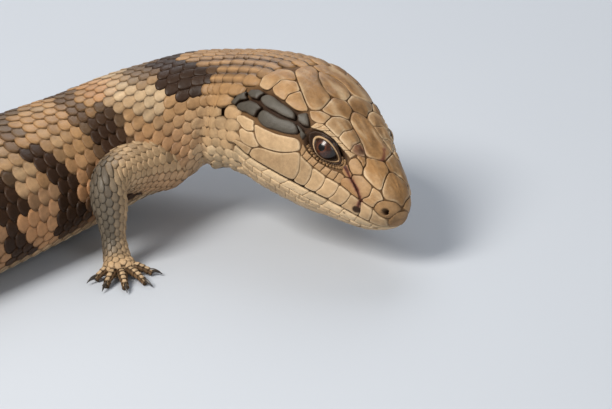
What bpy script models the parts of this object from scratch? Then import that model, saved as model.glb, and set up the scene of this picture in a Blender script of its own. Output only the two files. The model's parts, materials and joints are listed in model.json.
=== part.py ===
"""Blue tongued skink, life size, lying with its fore body and head turned to its right.

The body is one tapering surface carried along a bent spine, parted by thin cuts into
head, neck, trunk and tail lengths.  Legs, feet, claws and eyes are separate solids.
Lengths in the tables are millimetres; meshes are built in metres, +Z up, on the floor z = 0.
"""
import math

import bmesh
import bpy
import numpy as np

MM = 0.001
GAP = 0.3              # clearance between neighbouring solids
BODY_LENGTH = 491.0    # snout tip to tail tip along the spine
RING_SIDES = 28        # points round the body
FLOOR_SINK = 0.6       # how far the belly and tail press flat against the floor

# name, distance from the snout, half width, height above axis, depth below axis, widest level
STATIONS = (
    ("snout tip", 0, 0, 0, 0, 0),
    ("rostral edge", 0.5, 2.6, 2.5, 2.6, 0),
    ("rostral back", 1.6, 4.0, 4.1, 4.1, -0.1),
    ("nostril", 4, 6.1, 6.4, 6.3, -0.3),
    ("frontonasal", 8, 8.5, 8.6, 8.7, -0.5),
    ("loreal", 14, 10.5, 11.2, 11.0, -0.8),
    ("eye front", 20, 12.8, 13.2, 12.8, -1.0),
    ("eye back", 27, 15.5, 15.3, 15.2, -1.2),
    ("frontoparietal", 35, 18.4, 17.3, 16.9, -1.5),
    ("jaw hinge", 45, 20.6, 18.2, 18.5, -1.8),
    ("ear", 55, 20.4, 17.6, 19.1, -2.2),
    ("jowl", 64, 19.6, 16.8, 19.0, -2.5),
    ("neck", 76, 17.6, 16.2, 17.3, -2.0),
    ("shoulder", 92, 19.5, 16.2, 16.9, -2.5),
    ("chest", 110, 22.0, 16.8, 17.2, -4.0),
    ("ribs", 135, 25.5, 17.4, 17.4, -5.5),
    ("belly front", 170, 28.5, 18.0, 17.6, -6.0),
    ("belly back", 210, 29.0, 18.0, 17.6, -6.0),
    ("loin", 250, 26.5, 17.2, 16.8, -5.0),
    ("hip", 280, 21.5, 15.8, 15.0, -3.0),
    ("vent", 300, 17.0, 14.3, 13.2, -1.0),
    ("tail root", 315, 14.8, 13.0, 12.0, 0),
    ("tail quarter", 340, 13.2, 12.0, 11.0, 0),
    ("tail half", 380, 11.5, 10.4, 9.8, 0),
    ("tail three quarters", 430, 8.5, 8.0, 7.6, 0),
    ("tail taper", 470, 5.0, 4.8, 4.8, 0),
    ("tail cone", 488, 2.0, 2.0, 2.0, 0),
    ("tail tip", 491, 0, 0, 0, 0),
)
# distance from the snout, direction the animal faces there in degrees from +X
HEADINGS = ((50, -100), (80, -60), (100, -36), (125, -17), (155, -5), (200, 0), (260, 2),
            (320, -11), (400, -36), (491, -65))
# distance from the snout, height of the axis above the floor where the body is held up
HEIGHTS = ((50, 31.2), (62, 31.7), (80, 30.8), (100, 26.5), (125, 20.3), (150, 18.0))
REST_FROM = 178        # from here back the body lies on the floor
HEAD_PITCH = 18        # degrees, snout down
HEAD_ROLL = -11        # degrees about the head's length, left side down
ROLL_FADE = (50, 105)  # the roll dies out between these distances
ORIGIN_AT = 205        # the world origin is on the floor under this distance

# soft forms of the head: distance, angle from the crown, reach along, reach round, height
HEAD_FORMS = (
    ("brow", 25, 36, 7, 10, 0.6),
    ("orbit", 25, 57, 6, 12, -0.8),
    ("lore", 14, 62, 5, 14, -0.4),
    ("temple", 41, 50, 8, 12, -0.4),
    ("cheek", 52, 98, 9, 22, 0.8),
)

# node, first distance, last distance, number of rings
BODY_PIECES = (
    ("neck", 60, 86, 6),
    ("chest", 86, 130, 9),
    ("belly", 130, 200, 8),
    ("loin", 200, 262, 7),
    ("hips", 262, 312, 7),
    ("tail_base", 312, 372, 6),
    ("tail_middle", 372, 432, 5),
    ("tail_end", 432, 491, 8),
)
HEAD_END = 60
HEAD_RINGS = 17
MOUTH_DROP = 3.0       # mouth plane below the axis at the snout
MOUTH_SLOPE = 0.03     # further drop per millimetre back
JAW_END = 50           # the lower jaw ends here

EYE_AT = (24.8, 52)    # distance and angle of the pupil on the head
EYE_RADIUS = 5.0
EYE_PROUD = 1.0        # how far the ball stands out of the smooth head

SIDES = {"left": 1, "right": -1}
# each joint: distance along the spine, distance out from the axis, height above the floor
LEGS = {
    "fore_right": (("shoulder", 97, 11, 19), ("elbow", 129, 31, 25), ("wrist", 132, 36, 5.5)),
    "fore_left": (("shoulder", 97, 11, 19), ("elbow", 114, 35, 24), ("wrist", 104, 40, 5.5)),
    "hind_right": (("hip", 286, 10, 12), ("knee", 268, 35, 15), ("ankle", 282, 41, 5.5)),
    "hind_left": (("hip", 286, 10, 12), ("knee", 264, 36, 15), ("ankle", 276, 43, 5.5)),
}
FORE_RADII = (8.0, 5.8, 5.0, 4.6, 3.4)
HIND_RADII = (11.0, 8.2, 6.2, 5.2, 3.8)
# how far each foot's middle lies beyond the wrist, and where it points, in degrees from +X
FEET = {
    "fore_right": (5.0, -122),
    "fore_left": (5.0, 28),
    "hind_right": (6.0, -52),
    "hind_left": (6.0, 40),
}
PALM_HEIGHT = 2.3
PALM_SIZE = (4.8, 4.6, 2.7)       # half length, half width, half height
# toes from the inner to the outer: angle in the fan, length beyond the palm's middle
FORE_TOES = ((-62, 8.5), (-30, 11.0), (-2, 12.5), (26, 12.5), (58, 10.0))
HIND_TOES = ((-56, 9.0), (-28, 12.0), (-2, 14.5), (22, 15.5), (50, 11.5))
TOE_RADII = (1.4, 1.3, 1.25, 0.95)
TOE_COURSE = ((0.15, 2.2), (0.45, 2.5), (0.72, 2.0), (1.0, 0.85))   # share of length, height
CLAW_LENGTH = 2.8
CLAW_RADIUS = 0.65
# share of the length, lift above the toe's tip, share of the radius
CLAW_COURSE = ((0, 0, 1.0), (0.4, 0.28, 0.85), (0.75, 0.12, 0.5), (1.0, -0.5, 0.12))
CLAW_CLEAR = 0.05                 # the claws stay this far above the floor

SPINE_STEP = 0.5
TAIL_LEAST = 1.2                  # lowest height of the axis, at the tail tip
SLOPE_REACH = 9                   # spine steps each way over which the slope is averaged
LEG_RINGS, LEG_SIDES, TOE_SIDES, CLAW_SIDES = 15, 12, 7, 6
PALM_FACES, EYE_FACES, SOCKET_FACES = (12, 7), (14, 8), (16, 10)
LEG_ROOTS = {"fore": (78, 160), "hind": (250, 325)}   # trunk lengths that the legs grow from
LEG_ROOT_RINGS = 16
ROOT_CLEAR = 1.6 * GAP            # the trunk is this much fatter where it cuts a leg
WRIST_OVERLAP = 0.2               # further clearance of the palm from the wrist cut
JAW_BOX = (-5, 30, -40)           # first distance, half width and lowest level of the jaw cut
FLOOR_BLOCK = 60                  # side of the block that flattens a sole


def smooth(x, y, at):
    """Monotone cubic curve through the points (x, y), read at the places 'at'."""
    x, y, at = np.asarray(x, float), np.asarray(y, float), np.asarray(at, float)
    step = np.diff(x)
    rise = np.diff(y) / step
    slope = np.concatenate(([rise[0]], np.zeros(len(x) - 2), [rise[-1]]))
    same_way = rise[:-1] * rise[1:] > 0
    before = 2 * step[1:] + step[:-1]
    after = step[1:] + 2 * step[:-1]
    safe = np.where(same_way, rise[:-1] * rise[1:], 1.0)
    mean = (before + after) * safe / (before * rise[1:] + after * rise[:-1] + (~same_way))
    slope[1:-1] = np.where(same_way, mean, 0.0)
    i = np.clip(np.searchsorted(x, at, side="right") - 1, 0, len(step) - 1)
    t = np.clip((at - x[i]) / step[i], 0, 1)
    start = y[i] * (2 * t**3 - 3 * t**2 + 1) + y[i + 1] * (3 * t**2 - 2 * t**3)
    bend = slope[i] * (t**3 - 2 * t**2 + t) + slope[i + 1] * (t**3 - t**2)
    return start + step[i] * bend


def profile(s):
    """Half width, top, depth and widest level of the body at distances s."""
    table = np.array([row[1:] for row in STATIONS], float)
    return [smooth(table[:, 0], table[:, k], s) for k in range(1, 5)]


def build_spine():
    """Axis points and the forward, left and up directions every half millimetre."""
    s = np.arange(0, BODY_LENGTH + SPINE_STEP / 2, SPINE_STEP)
    depth = profile(s)[2]
    lying = np.maximum(depth - FLOOR_SINK, TAIL_LEAST)
    held_s = [row[0] for row in HEIGHTS] + [REST_FROM, REST_FROM + 12]
    held_h = [row[1] for row in HEIGHTS] + [np.interp(d, s, lying) for d in held_s[-2:]]
    nape_s, nape_h = HEIGHTS[0]
    pitch = math.radians(HEAD_PITCH)
    height = smooth(held_s, held_h, s)
    height = np.where(s < nape_s, nape_h - (nape_s - s) * math.sin(pitch), height)
    height = np.where(s >= REST_FROM, lying, height)
    turn = np.radians(smooth([row[0] for row in HEADINGS], [row[1] for row in HEADINGS], s))
    down = np.arcsin(np.clip(np.gradient(height, s), -0.9, 0.9))
    window = np.ones(2 * SLOPE_REACH + 1) / (2 * SLOPE_REACH + 1)
    eased = np.convolve(np.pad(down, SLOPE_REACH, "edge"), window, "valid")
    down = np.where(s < nape_s - 6, pitch, np.where(s > BODY_LENGTH - 8, 0, eased))
    roll = math.radians(HEAD_ROLL) * np.clip(
        (ROLL_FADE[1] - s) / (ROLL_FADE[1] - ROLL_FADE[0]), 0, 1)
    forward = np.stack([np.cos(turn) * np.cos(down), np.sin(turn) * np.cos(down),
                        -np.sin(down)], 1)
    level = np.stack([-np.sin(turn), np.cos(turn), 0 * turn], 1)
    upright = np.cross(forward, level)
    left = level * np.cos(roll)[:, None] + upright * np.sin(roll)[:, None]
    up = np.cross(forward, left)
    steps = -SPINE_STEP * (forward[1:] + forward[:-1]) / 2
    axis = np.vstack([np.zeros(3), np.cumsum(steps, 0)])
    axis[:, 2] = height
    here = np.array([np.interp(ORIGIN_AT, s, axis[:, k]) for k in range(2)])
    axis[:, :2] -= here
    return s, np.hstack([axis, forward, left, up])


SPINE_S, SPINE = build_spine()


def frame_at(s):
    """Axis point, forward, left and up directions at distances s, each (..., 3)."""
    s = np.asarray(s, float)
    rows = np.stack([np.interp(s, SPINE_S, SPINE[:, k]) for k in range(12)], -1)
    return [rows[..., k:k + 3] for k in (0, 3, 6, 9)]


def surface(s, angle, grow=0.0):
    """Body surface at distance s and angle from the crown (+ is left).

    Each section is a superellipse with its own top and bottom half; the head's soft
    forms are added outwards from the axis.  'grow' moves the surface outwards.
    """
    s, angle = np.broadcast_arrays(np.asarray(s, float), np.asarray(angle, float))
    width, top, depth, level = profile(s)
    power = np.interp(s, [55, 80], [2.5, 2.25])
    c, sn = np.cos(angle), np.sin(angle)
    r = (np.abs(c) ** power + np.abs(sn) ** power) ** (-1 / power)
    side = width * r * sn
    rise = np.where(c > 0, top - level, level + depth) * r * c
    away = np.abs(np.degrees(angle))
    form = sum(h * np.exp(-((s - at) / along) ** 2 - ((away - a) / round_) ** 2)
               for _, at, a, along, round_, h in HEAD_FORMS)
    out = np.hypot(side, rise) + 1e-9
    stretch = 1 + (form + grow) / out * np.clip(out / 3, 0, 1)
    axis, _, left, up = frame_at(s)
    point = (axis + left * (side * stretch)[..., None]
             + up * (level + rise * stretch)[..., None])
    point[..., 2] = np.maximum(point[..., 2], -grow)
    return point


def loft(name, rings):
    """Closed mesh from an array of rings; a collapsed end ring becomes one pole point."""
    mesh = bpy.data.meshes.new(name)
    bm = bmesh.new()
    rows = []
    for ring in rings:
        if np.ptp(ring, axis=0).max() < 0.01:
            rows.append([bm.verts.new(ring.mean(0) * MM)])
        else:
            rows.append([bm.verts.new(p * MM) for p in ring])
    for a, b in zip(rows[:-1], rows[1:]):
        n = max(len(a), len(b))
        for i in range(n):
            j = (i + 1) % n
            corners = [a[i % len(a)], a[j % len(a)], b[j % len(b)], b[i % len(b)]]
            bm.faces.new(list(dict.fromkeys(corners)))
    for row in (rows[0], rows[-1]):
        if len(row) > 1:
            bm.faces.new(row)
    bmesh.ops.recalc_face_normals(bm, faces=bm.faces)
    bm.to_mesh(mesh)
    bm.free()
    return mesh


def collection(name):
    """New collection in the scene."""
    made = bpy.data.collections.new(name)
    bpy.context.scene.collection.children.link(made)
    return made


def material(name, colour, roughness):
    """Principled material with one colour."""
    made = bpy.data.materials.new(name)
    made.use_nodes = True
    shader = made.node_tree.nodes["Principled BSDF"]
    shader.inputs["Base Color"].default_value = (*colour, 1)
    shader.inputs["Roughness"].default_value = roughness
    shader.inputs["Metallic"].default_value = 0
    return made


def add(name, mesh, look):
    """Named solid in the model's collection, parented to its empty."""
    made = bpy.data.objects.new(name, mesh)
    MODEL.objects.link(made)
    made.parent = ROOT
    colour, roughness = look
    mesh.materials.append(material(name + " finish", colour, roughness))
    mesh.shade_smooth()
    return made


def tool(name, mesh):
    """Hidden cutter or joined shape in the tools collection."""
    made = bpy.data.objects.new(name, mesh)
    TOOLS.objects.link(made)
    made.hide_render = True
    made.display_type = "WIRE"
    return made


def cut(target, operation, other):
    """Exact boolean with a hidden tool object."""
    made = target.modifiers.new(operation.lower() + " " + other.name, "BOOLEAN")
    made.operation = operation
    made.solver = "EXACT"
    made.object = other


def body_rings(first, last, count, grow=0.0):
    """Rings of the body surface between two distances."""
    s = np.linspace(first, last, count)
    angle = np.linspace(0, 2 * np.pi, RING_SIDES, endpoint=False)
    angle = np.where(angle > np.pi, angle - 2 * np.pi, angle)
    return surface(s[:, None], angle[None], grow)


def head_rings():
    """Rings of the head, closer together towards the snout tip."""
    s = HEAD_END * np.linspace(0, 1, HEAD_RINGS) ** 1.8
    s[-1] = HEAD_END - GAP / 2
    angle = np.linspace(0, 2 * np.pi, RING_SIDES, endpoint=False)
    angle = np.where(angle > np.pi, angle - 2 * np.pi, angle)
    return surface(s[:, None], angle[None])


def jaw_block(name, slack):
    """Box below the mouth plane and ahead of the jaw's end, in the head's own frame."""
    axis, forward, left, up = frame_at(0.0)
    first, half_width, lowest = JAW_BOX
    points = []
    for s in (first, JAW_END + slack):
        for side in (-half_width, half_width):
            for level in (slack - MOUTH_DROP - MOUTH_SLOPE * s, lowest):
                points.append((axis - forward * s + left * side + up * level) * MM)
    mesh = bpy.data.meshes.new(name)
    bm = bmesh.new()
    bmesh.ops.create_cube(bm, size=1.0)
    bm.verts.ensure_lookup_table()
    corner = {(-1, -1, 1): 0, (-1, -1, -1): 1, (-1, 1, 1): 2, (-1, 1, -1): 3,
              (1, -1, 1): 4, (1, -1, -1): 5, (1, 1, 1): 6, (1, 1, -1): 7}
    for v in bm.verts:
        sign = tuple(int(np.sign(c)) for c in v.co)
        v.co = points[corner[sign]]
    bmesh.ops.recalc_face_normals(bm, faces=bm.faces)
    bm.to_mesh(mesh)
    bm.free()
    return tool(name, mesh)


def ball(name, centre, radius, faces):
    """UV sphere mesh with the given centre and radius."""
    mesh = bpy.data.meshes.new(name)
    bm = bmesh.new()
    bmesh.ops.create_uvsphere(bm, u_segments=faces[0], v_segments=faces[1],
                              radius=radius * MM)
    bmesh.ops.translate(bm, verts=bm.verts, vec=centre * MM)
    bm.to_mesh(mesh)
    bm.free()
    return mesh


def eye_centre(side):
    """Centre of the eyeball below the head's surface."""
    s, angle = EYE_AT[0], side * math.radians(EYE_AT[1])
    here = surface(s, angle)
    along = surface(s + 1, angle) - surface(s - 1, angle)
    round_ = surface(s, angle + 0.05) - surface(s, angle - 0.05)
    normal = np.cross(along, round_)
    normal /= np.linalg.norm(normal)
    outward = here - frame_at(s)[0]
    normal *= np.sign(normal @ outward)
    return here - normal * (EYE_RADIUS - EYE_PROUD)


def make_head():
    """Head with the lower jaw parted along the mouth, and an eyeball on each side."""
    rings = head_rings()
    head = add("head", loft("head", rings), HEAD_LOOK)
    cut(head, "DIFFERENCE", jaw_block("mouth_cut_for_head", GAP / 2))
    jaw = add("lower_jaw", loft("lower_jaw", rings), THROAT_LOOK)
    cut(jaw, "INTERSECT", jaw_block("mouth_cut_for_jaw", -GAP / 2))
    for label, side in SIDES.items():
        centre = eye_centre(side)
        socket = tool("socket_" + label, ball("socket", centre, EYE_RADIUS + GAP, SOCKET_FACES))
        cut(head, "DIFFERENCE", socket)
        add("eye_" + label, ball("eye_" + label, centre, EYE_RADIUS, EYE_FACES), EYE_LOOK)


def make_body():
    """Neck, trunk and tail lengths, each with a flat end face."""
    for name, first, last, count in BODY_PIECES:
        start = first + GAP / 2
        end = last if last == BODY_LENGTH else last - GAP / 2
        rings = body_rings(start, end, count)
        add(name, loft(name, rings), BODY_LOOK)


def beside(distance, side, out, height):
    """Point at a distance out from the axis on one side, at a height above the floor."""
    axis, forward, _, _ = frame_at(distance)
    ahead = forward[:2] / np.linalg.norm(forward[:2])
    flat = axis[:2] + side * out * np.array([-ahead[1], ahead[0]])
    return np.array([*flat, height])


def tube_rings(points, radii, sides):
    """Rings round a curve; each ring is square to the curve."""
    points = np.asarray(points, float)
    run = np.gradient(points, axis=0)
    run /= np.linalg.norm(run, axis=1)[:, None]
    across = np.cross(run, [0.0, 0.0, 1.0])
    weak = np.linalg.norm(across, axis=1) < 0.25
    across[weak] = across[~weak].mean(0) if (~weak).any() else [1.0, 0.0, 0.0]
    across -= run * (across * run).sum(1)[:, None]
    across /= np.linalg.norm(across, axis=1)[:, None]
    over = np.cross(across, run)
    turn = np.linspace(0, 2 * np.pi, sides, endpoint=False)
    ring = (across[:, None] * np.cos(turn)[None, :, None]
            + over[:, None] * np.sin(turn)[None, :, None])
    return points[:, None] + ring * np.asarray(radii, float)[:, None, None]


def limb_curve(joints, count):
    """Smooth curve through the joints, eased at the middle one."""
    joints = np.array(joints)
    t = np.linspace(0, 2, 81)
    line = np.stack([np.interp(t, [0, 1, 2], joints[:, k]) for k in range(3)], 1)
    reach = 13
    window = np.hanning(2 * reach + 3)[1:-1]
    window /= window.sum()
    padded = np.vstack([2 * line[0] - line[reach:0:-1], line,
                        2 * line[-1] - line[-2:-2 - reach:-1]])
    eased = np.stack([np.convolve(padded[:, k], window, "valid") for k in range(3)], 1)
    at = np.linspace(0, 80, count)
    return np.stack([np.interp(at, np.arange(81), eased[:, k]) for k in range(3)], 1)


def make_leg(name):
    """Upper leg, lower leg and foot, parted by thin flat cuts."""
    side = SIDES[name.split("_")[1]]
    fore = name.startswith("fore")
    radii = FORE_RADII if fore else HIND_RADII
    joints = [beside(distance, side, out, height) for _, distance, out, height in LEGS[name]]
    middle = LEG_RINGS // 2
    curve = limb_curve(joints, LEG_RINGS)
    thick = smooth(np.linspace(0, 1, len(radii)), radii, np.linspace(0, 1, LEG_RINGS))
    rings = tube_rings(curve, thick, LEG_SIDES)
    half_gap = GAP / 2
    ahead = curve[middle + 2] - curve[middle - 2]
    ahead /= np.linalg.norm(ahead)
    joint = project_flat(rings[middle], curve[middle], ahead)[None]
    upper = np.concatenate([rings[:middle - 1], joint])
    lower = np.concatenate([joint, rings[middle + 2:]])
    upper = beyond(upper, curve[middle], -ahead, half_gap)
    lower = beyond(lower, curve[middle], ahead, half_gap)
    trunk = tool(name + "_trunk_space", loft("space", trunk_space(fore)))
    thigh = add(name + "_upper", loft(name + "_upper", upper), LEG_LOOK)
    cut(thigh, "DIFFERENCE", trunk)
    reach, heading = FEET[name]
    turn = math.radians(heading)
    toward = np.array([math.cos(turn), math.sin(turn), 0.0])
    down = curve[-1] - curve[-2]
    slope = down / np.linalg.norm(down) + toward
    slope /= np.linalg.norm(slope)
    lower[-1] = project_flat(lower[-1], curve[-1], slope)
    lower = beyond(lower, curve[-1], -slope, half_gap)
    add(name + "_lower", loft(name + "_lower", lower), LEG_LOOK)
    middle_point = curve[-1] * [1, 1, 0] + toward * reach + [0, 0, PALM_HEIGHT]
    make_foot(name, curve[-1], slope, lower[-1], middle_point, turn)


def trunk_space(fore):
    """Rings of the trunk made fatter by the gap, which the legs are cut with."""
    first, last = LEG_ROOTS["fore" if fore else "hind"]
    return body_rings(first, last, LEG_ROOT_RINGS, ROOT_CLEAR)


def make_foot(name, wrist, slope, wrist_ring, middle, turn):
    """Palm, wrist stub and five toes joined into one solid with a flat sole, and claws.

    'slope' is the normal of the cut at the wrist; every part stays beyond that cut.
    """
    side = SIDES[name.split("_")[1]]
    fore = name.startswith("fore")
    toward = np.array([math.cos(turn), math.sin(turn), 0.0])
    mesh = ball(name + "_foot", np.zeros(3), 1.0, PALM_FACES)
    shape = np.array([[toward[0] * PALM_SIZE[0], -toward[1] * PALM_SIZE[1], 0],
                      [toward[1] * PALM_SIZE[0], toward[0] * PALM_SIZE[1], 0],
                      [0, 0, PALM_SIZE[2]]])
    for v in mesh.vertices:
        place = middle + shape @ (np.array(v.co) / MM)
        v.co = beyond(place, wrist, slope, GAP / 2 + WRIST_OVERLAP) * MM
    foot = add(name + "_foot", mesh, LEG_LOOK)
    first = wrist_ring + slope * GAP
    last = middle + (wrist_ring - wrist_ring.mean(0)) * 0.5
    stub = np.stack([first, first * 0.6 + last * 0.4 + slope * 0.5, last])
    stub = beyond(stub, wrist, slope, GAP / 2)
    cut(foot, "UNION", tool(name + "_wrist", loft("wrist", stub)))
    for k, (fan, length) in enumerate(FORE_TOES if fore else HIND_TOES):
        angle = turn + side * math.radians(-fan)
        way = np.array([math.cos(angle), math.sin(angle), 0.0])
        toe, tip, slope = toe_rings(middle, way, length)
        cut(foot, "UNION", tool(f"{name}_toe_{k + 1}", loft("toe", toe)))
        make_claw(f"{name}_claw_{k + 1}", tip, slope)
    floor = bpy.data.meshes.new("floor")
    bm = bmesh.new()
    bmesh.ops.create_cube(bm, size=FLOOR_BLOCK * MM)
    bmesh.ops.translate(bm, verts=bm.verts,
                         vec=(middle - [0, 0, FLOOR_BLOCK / 2 + PALM_HEIGHT]) * MM)
    bm.to_mesh(floor)
    bm.free()
    cut(foot, "DIFFERENCE", tool(name + "_floor", floor))


def beyond(rings, point, normal, least):
    """Rings pushed along the normal until each point is 'least' past the plane."""
    short = np.maximum(least - (rings - point) @ normal, 0)
    return rings + short[..., None] * normal


def project_flat(ring, point, normal):
    """Ring moved along the normal onto the plane through the point."""
    return ring - ((ring - point) @ normal)[:, None] * normal


def toe_rings(middle, way, length):
    """Rings of one toe from inside the palm over its knuckle to the tip, by the floor."""
    along, height = np.array(TOE_COURSE).T
    points = middle * [1, 1, 0] + way * (length * along)[:, None]
    points[:, 2] = height
    rings = tube_rings(points, TOE_RADII, TOE_SIDES)
    slope = points[-1] - points[-2]
    slope /= np.linalg.norm(slope)
    return rings, points[-1], slope


def make_claw(name, tip, slope):
    """Curved horn cone just beyond the toe's flat end, its point just above the floor."""
    flat = np.array([slope[0], slope[1], 0.0])
    flat /= np.linalg.norm(flat)
    along, lift, thick = np.array(CLAW_COURSE).T
    start = tip + slope * GAP
    points = start + flat * (CLAW_LENGTH * along)[:, None]
    points[:, 2] = start[2] + lift
    rings = tube_rings(points, CLAW_RADIUS * thick, CLAW_SIDES)
    rings[0] = project_flat(rings[0], start, slope)
    rings[..., 2] = np.maximum(rings[..., 2], CLAW_CLEAR)
    add(name, loft(name, rings), CLAW_LOOK)


for old in list(bpy.data.objects):
    bpy.data.objects.remove(old)

HEAD_LOOK = ((0.42, 0.31, 0.20), 0.45)
THROAT_LOOK = ((0.66, 0.58, 0.40), 0.5)
BODY_LOOK = ((0.36, 0.26, 0.17), 0.45)
LEG_LOOK = ((0.40, 0.34, 0.24), 0.5)
CLAW_LOOK = ((0.05, 0.04, 0.03), 0.35)
EYE_LOOK = ((0.10, 0.04, 0.02), 0.1)

MODEL = collection("blue_tongued_skink")
TOOLS = collection("tools")
ROOT = bpy.data.objects.new("skink_root", None)
MODEL.objects.link(ROOT)

make_head()
make_body()
for leg_name in LEGS:
    make_leg(leg_name)
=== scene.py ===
"""Looks of a life-size blue tongued skink: skin, head shields, body scales, lids, eyes and claws.

The body is one tapering surface along a bent spine, as in the solids.  A place on it is given
by its distance from the snout in millimetres and its angle from the crown in degrees, minus on
the animal's right.  Scales and shields are thin closed plates standing on a skin that lies
inside the solids.  Meshes are in metres, +Z up, on the floor z = 0.
"""
import json
import math

import bpy
import numpy as np
from mathutils import Matrix

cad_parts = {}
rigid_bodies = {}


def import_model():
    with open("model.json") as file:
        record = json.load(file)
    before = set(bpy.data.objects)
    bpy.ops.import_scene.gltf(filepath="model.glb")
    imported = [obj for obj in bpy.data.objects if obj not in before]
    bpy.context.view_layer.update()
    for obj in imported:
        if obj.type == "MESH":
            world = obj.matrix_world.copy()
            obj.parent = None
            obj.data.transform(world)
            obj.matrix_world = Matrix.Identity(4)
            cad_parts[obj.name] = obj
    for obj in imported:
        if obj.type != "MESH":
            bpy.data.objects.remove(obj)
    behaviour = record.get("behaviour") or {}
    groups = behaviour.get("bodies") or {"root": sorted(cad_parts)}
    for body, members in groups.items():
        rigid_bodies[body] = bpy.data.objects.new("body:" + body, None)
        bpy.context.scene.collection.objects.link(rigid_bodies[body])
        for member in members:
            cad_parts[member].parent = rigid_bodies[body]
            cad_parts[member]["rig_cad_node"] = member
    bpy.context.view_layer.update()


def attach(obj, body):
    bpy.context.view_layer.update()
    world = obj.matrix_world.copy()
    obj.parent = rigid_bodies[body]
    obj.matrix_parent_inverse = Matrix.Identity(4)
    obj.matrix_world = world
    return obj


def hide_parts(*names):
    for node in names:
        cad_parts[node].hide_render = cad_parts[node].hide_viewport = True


bl_info = {
    "name": "Blue tongued skink",
    "version": (1, 0, 0),
    "blender": (4, 5, 0),
    "location": "View3D > Sidebar > Skink",
    "description": "Skin, shields, scales, eyes and claws of a life-size skink, and its stage",
    "category": "Object",
}

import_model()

MM = 0.001
IMAGE_WIDTH = 612      # pixels

# distance from the snout, half width, height above axis, depth below axis, widest level
STATIONS = (
    (0, 0, 0, 0, 0),
    (0.5, 2.6, 2.5, 2.6, 0),
    (1.6, 4.0, 4.1, 4.1, -0.1),
    (4, 6.1, 6.4, 6.3, -0.3),
    (8, 8.5, 8.6, 8.7, -0.5),
    (14, 10.5, 11.2, 11.0, -0.8),
    (20, 12.8, 13.2, 12.8, -1.0),
    (27, 15.5, 15.3, 15.2, -1.2),
    (35, 18.4, 17.3, 16.9, -1.5),
    (45, 20.6, 18.2, 18.5, -1.8),
    (55, 20.4, 17.6, 19.1, -2.2),
    (64, 19.6, 16.8, 19.0, -2.5),
    (76, 17.6, 16.2, 17.3, -2.0),
    (92, 19.5, 16.2, 16.9, -2.5),
    (110, 22.0, 16.8, 17.2, -4.0),
    (135, 25.5, 17.4, 17.4, -5.5),
    (170, 28.5, 18.0, 17.6, -6.0),
    (210, 29.0, 18.0, 17.6, -6.0),
    (250, 26.5, 17.2, 16.8, -5.0),
    (280, 21.5, 15.8, 15.0, -3.0),
    (300, 17.0, 14.3, 13.2, -1.0),
    (315, 14.8, 13.0, 12.0, 0),
    (340, 13.2, 12.0, 11.0, 0),
    (380, 11.5, 10.4, 9.8, 0),
    (430, 8.5, 8.0, 7.6, 0),
    (470, 5.0, 4.8, 4.8, 0),
    (488, 2.0, 2.0, 2.0, 0),
    (491, 0, 0, 0, 0),
)
# distance from the snout, direction the animal faces there in degrees from +X
HEADINGS = ((50, -100), (80, -60), (100, -36), (125, -17), (155, -5), (200, 0), (260, 2),
            (320, -11), (400, -36), (491, -65))
# distance from the snout, height of the axis above the floor where the body is held up
HEIGHTS = ((50, 31.2), (62, 31.7), (80, 30.8), (100, 26.5), (125, 20.3), (150, 18.0))
REST_FROM = 178
HEAD_PITCH = 18
HEAD_ROLL = -11
ROLL_FADE = (50, 105)
ORIGIN_AT = 205
FLOOR_SINK = 0.6
BODY_LENGTH = 491.0
SPINE_STEP = 0.5
SLOPE_REACH = 9
TAIL_LEAST = 1.2

# soft forms of the head: distance, angle from the crown, reach along, reach round, height
HEAD_FORMS = (
    (25, 36, 7, 10, 0.6),
    (25, 57, 6, 12, -0.8),
    (14, 62, 5, 14, -0.4),
    (41, 50, 8, 12, -0.4),
    (52, 98, 9, 22, 0.8),
)

EYE_AT = (24.8, 52)
EYE_RADIUS = 5.0
EYE_PROUD = 1.0

SIDES = {"left": 1, "right": -1}
# shoulder or hip, elbow or knee, wrist or ankle: distance along the spine, out, height
LEGS = {
    "fore_right": ((97, 11, 19), (129, 31, 25), (132, 36, 5.5)),
    "fore_left": ((97, 11, 19), (114, 35, 24), (104, 40, 5.5)),
    "hind_right": ((286, 10, 12), (268, 35, 15), (282, 41, 5.5)),
    "hind_left": ((286, 10, 12), (264, 36, 15), (276, 43, 5.5)),
}
FORE_RADII = (8.0, 5.8, 5.0, 4.6, 3.4)
HIND_RADII = (11.0, 8.2, 6.2, 5.2, 3.8)
FEET = {
    "fore_right": (5.0, -122),
    "fore_left": (5.0, 28),
    "hind_right": (6.0, -52),
    "hind_left": (6.0, 40),
}
FORE_TOES = ((-62, 8.5), (-30, 11.0), (-2, 12.5), (26, 12.5), (58, 10.0))
HIND_TOES = ((-56, 9.0), (-28, 12.0), (-2, 14.5), (22, 15.5), (50, 11.5))
TOE_COURSE = ((0.15, 2.2), (0.45, 2.5), (0.72, 2.0), (1.0, 0.85))
TOE_RADII = (1.4, 1.3, 1.25, 0.95)
CLAW_LENGTH = 2.8
CLAW_RADIUS = 0.65
LEG_CORNER = 13                       # points over which a leg's joints are rounded
PALM_AHEAD = (-1.5, 0.8, 3.0, 4.3)    # from the foot's middle
PALM_HEIGHT = (3.0, 2.45, 2.1, 1.7)
FORE_PALM = (4.9, 2.5)                # half width and half height
HIND_PALM = (5.0, 2.6)

FLESH = ("head", "lower_jaw", "neck", "chest", "belly", "loin", "hips",
         "tail_base", "tail_middle", "tail_end")


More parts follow.
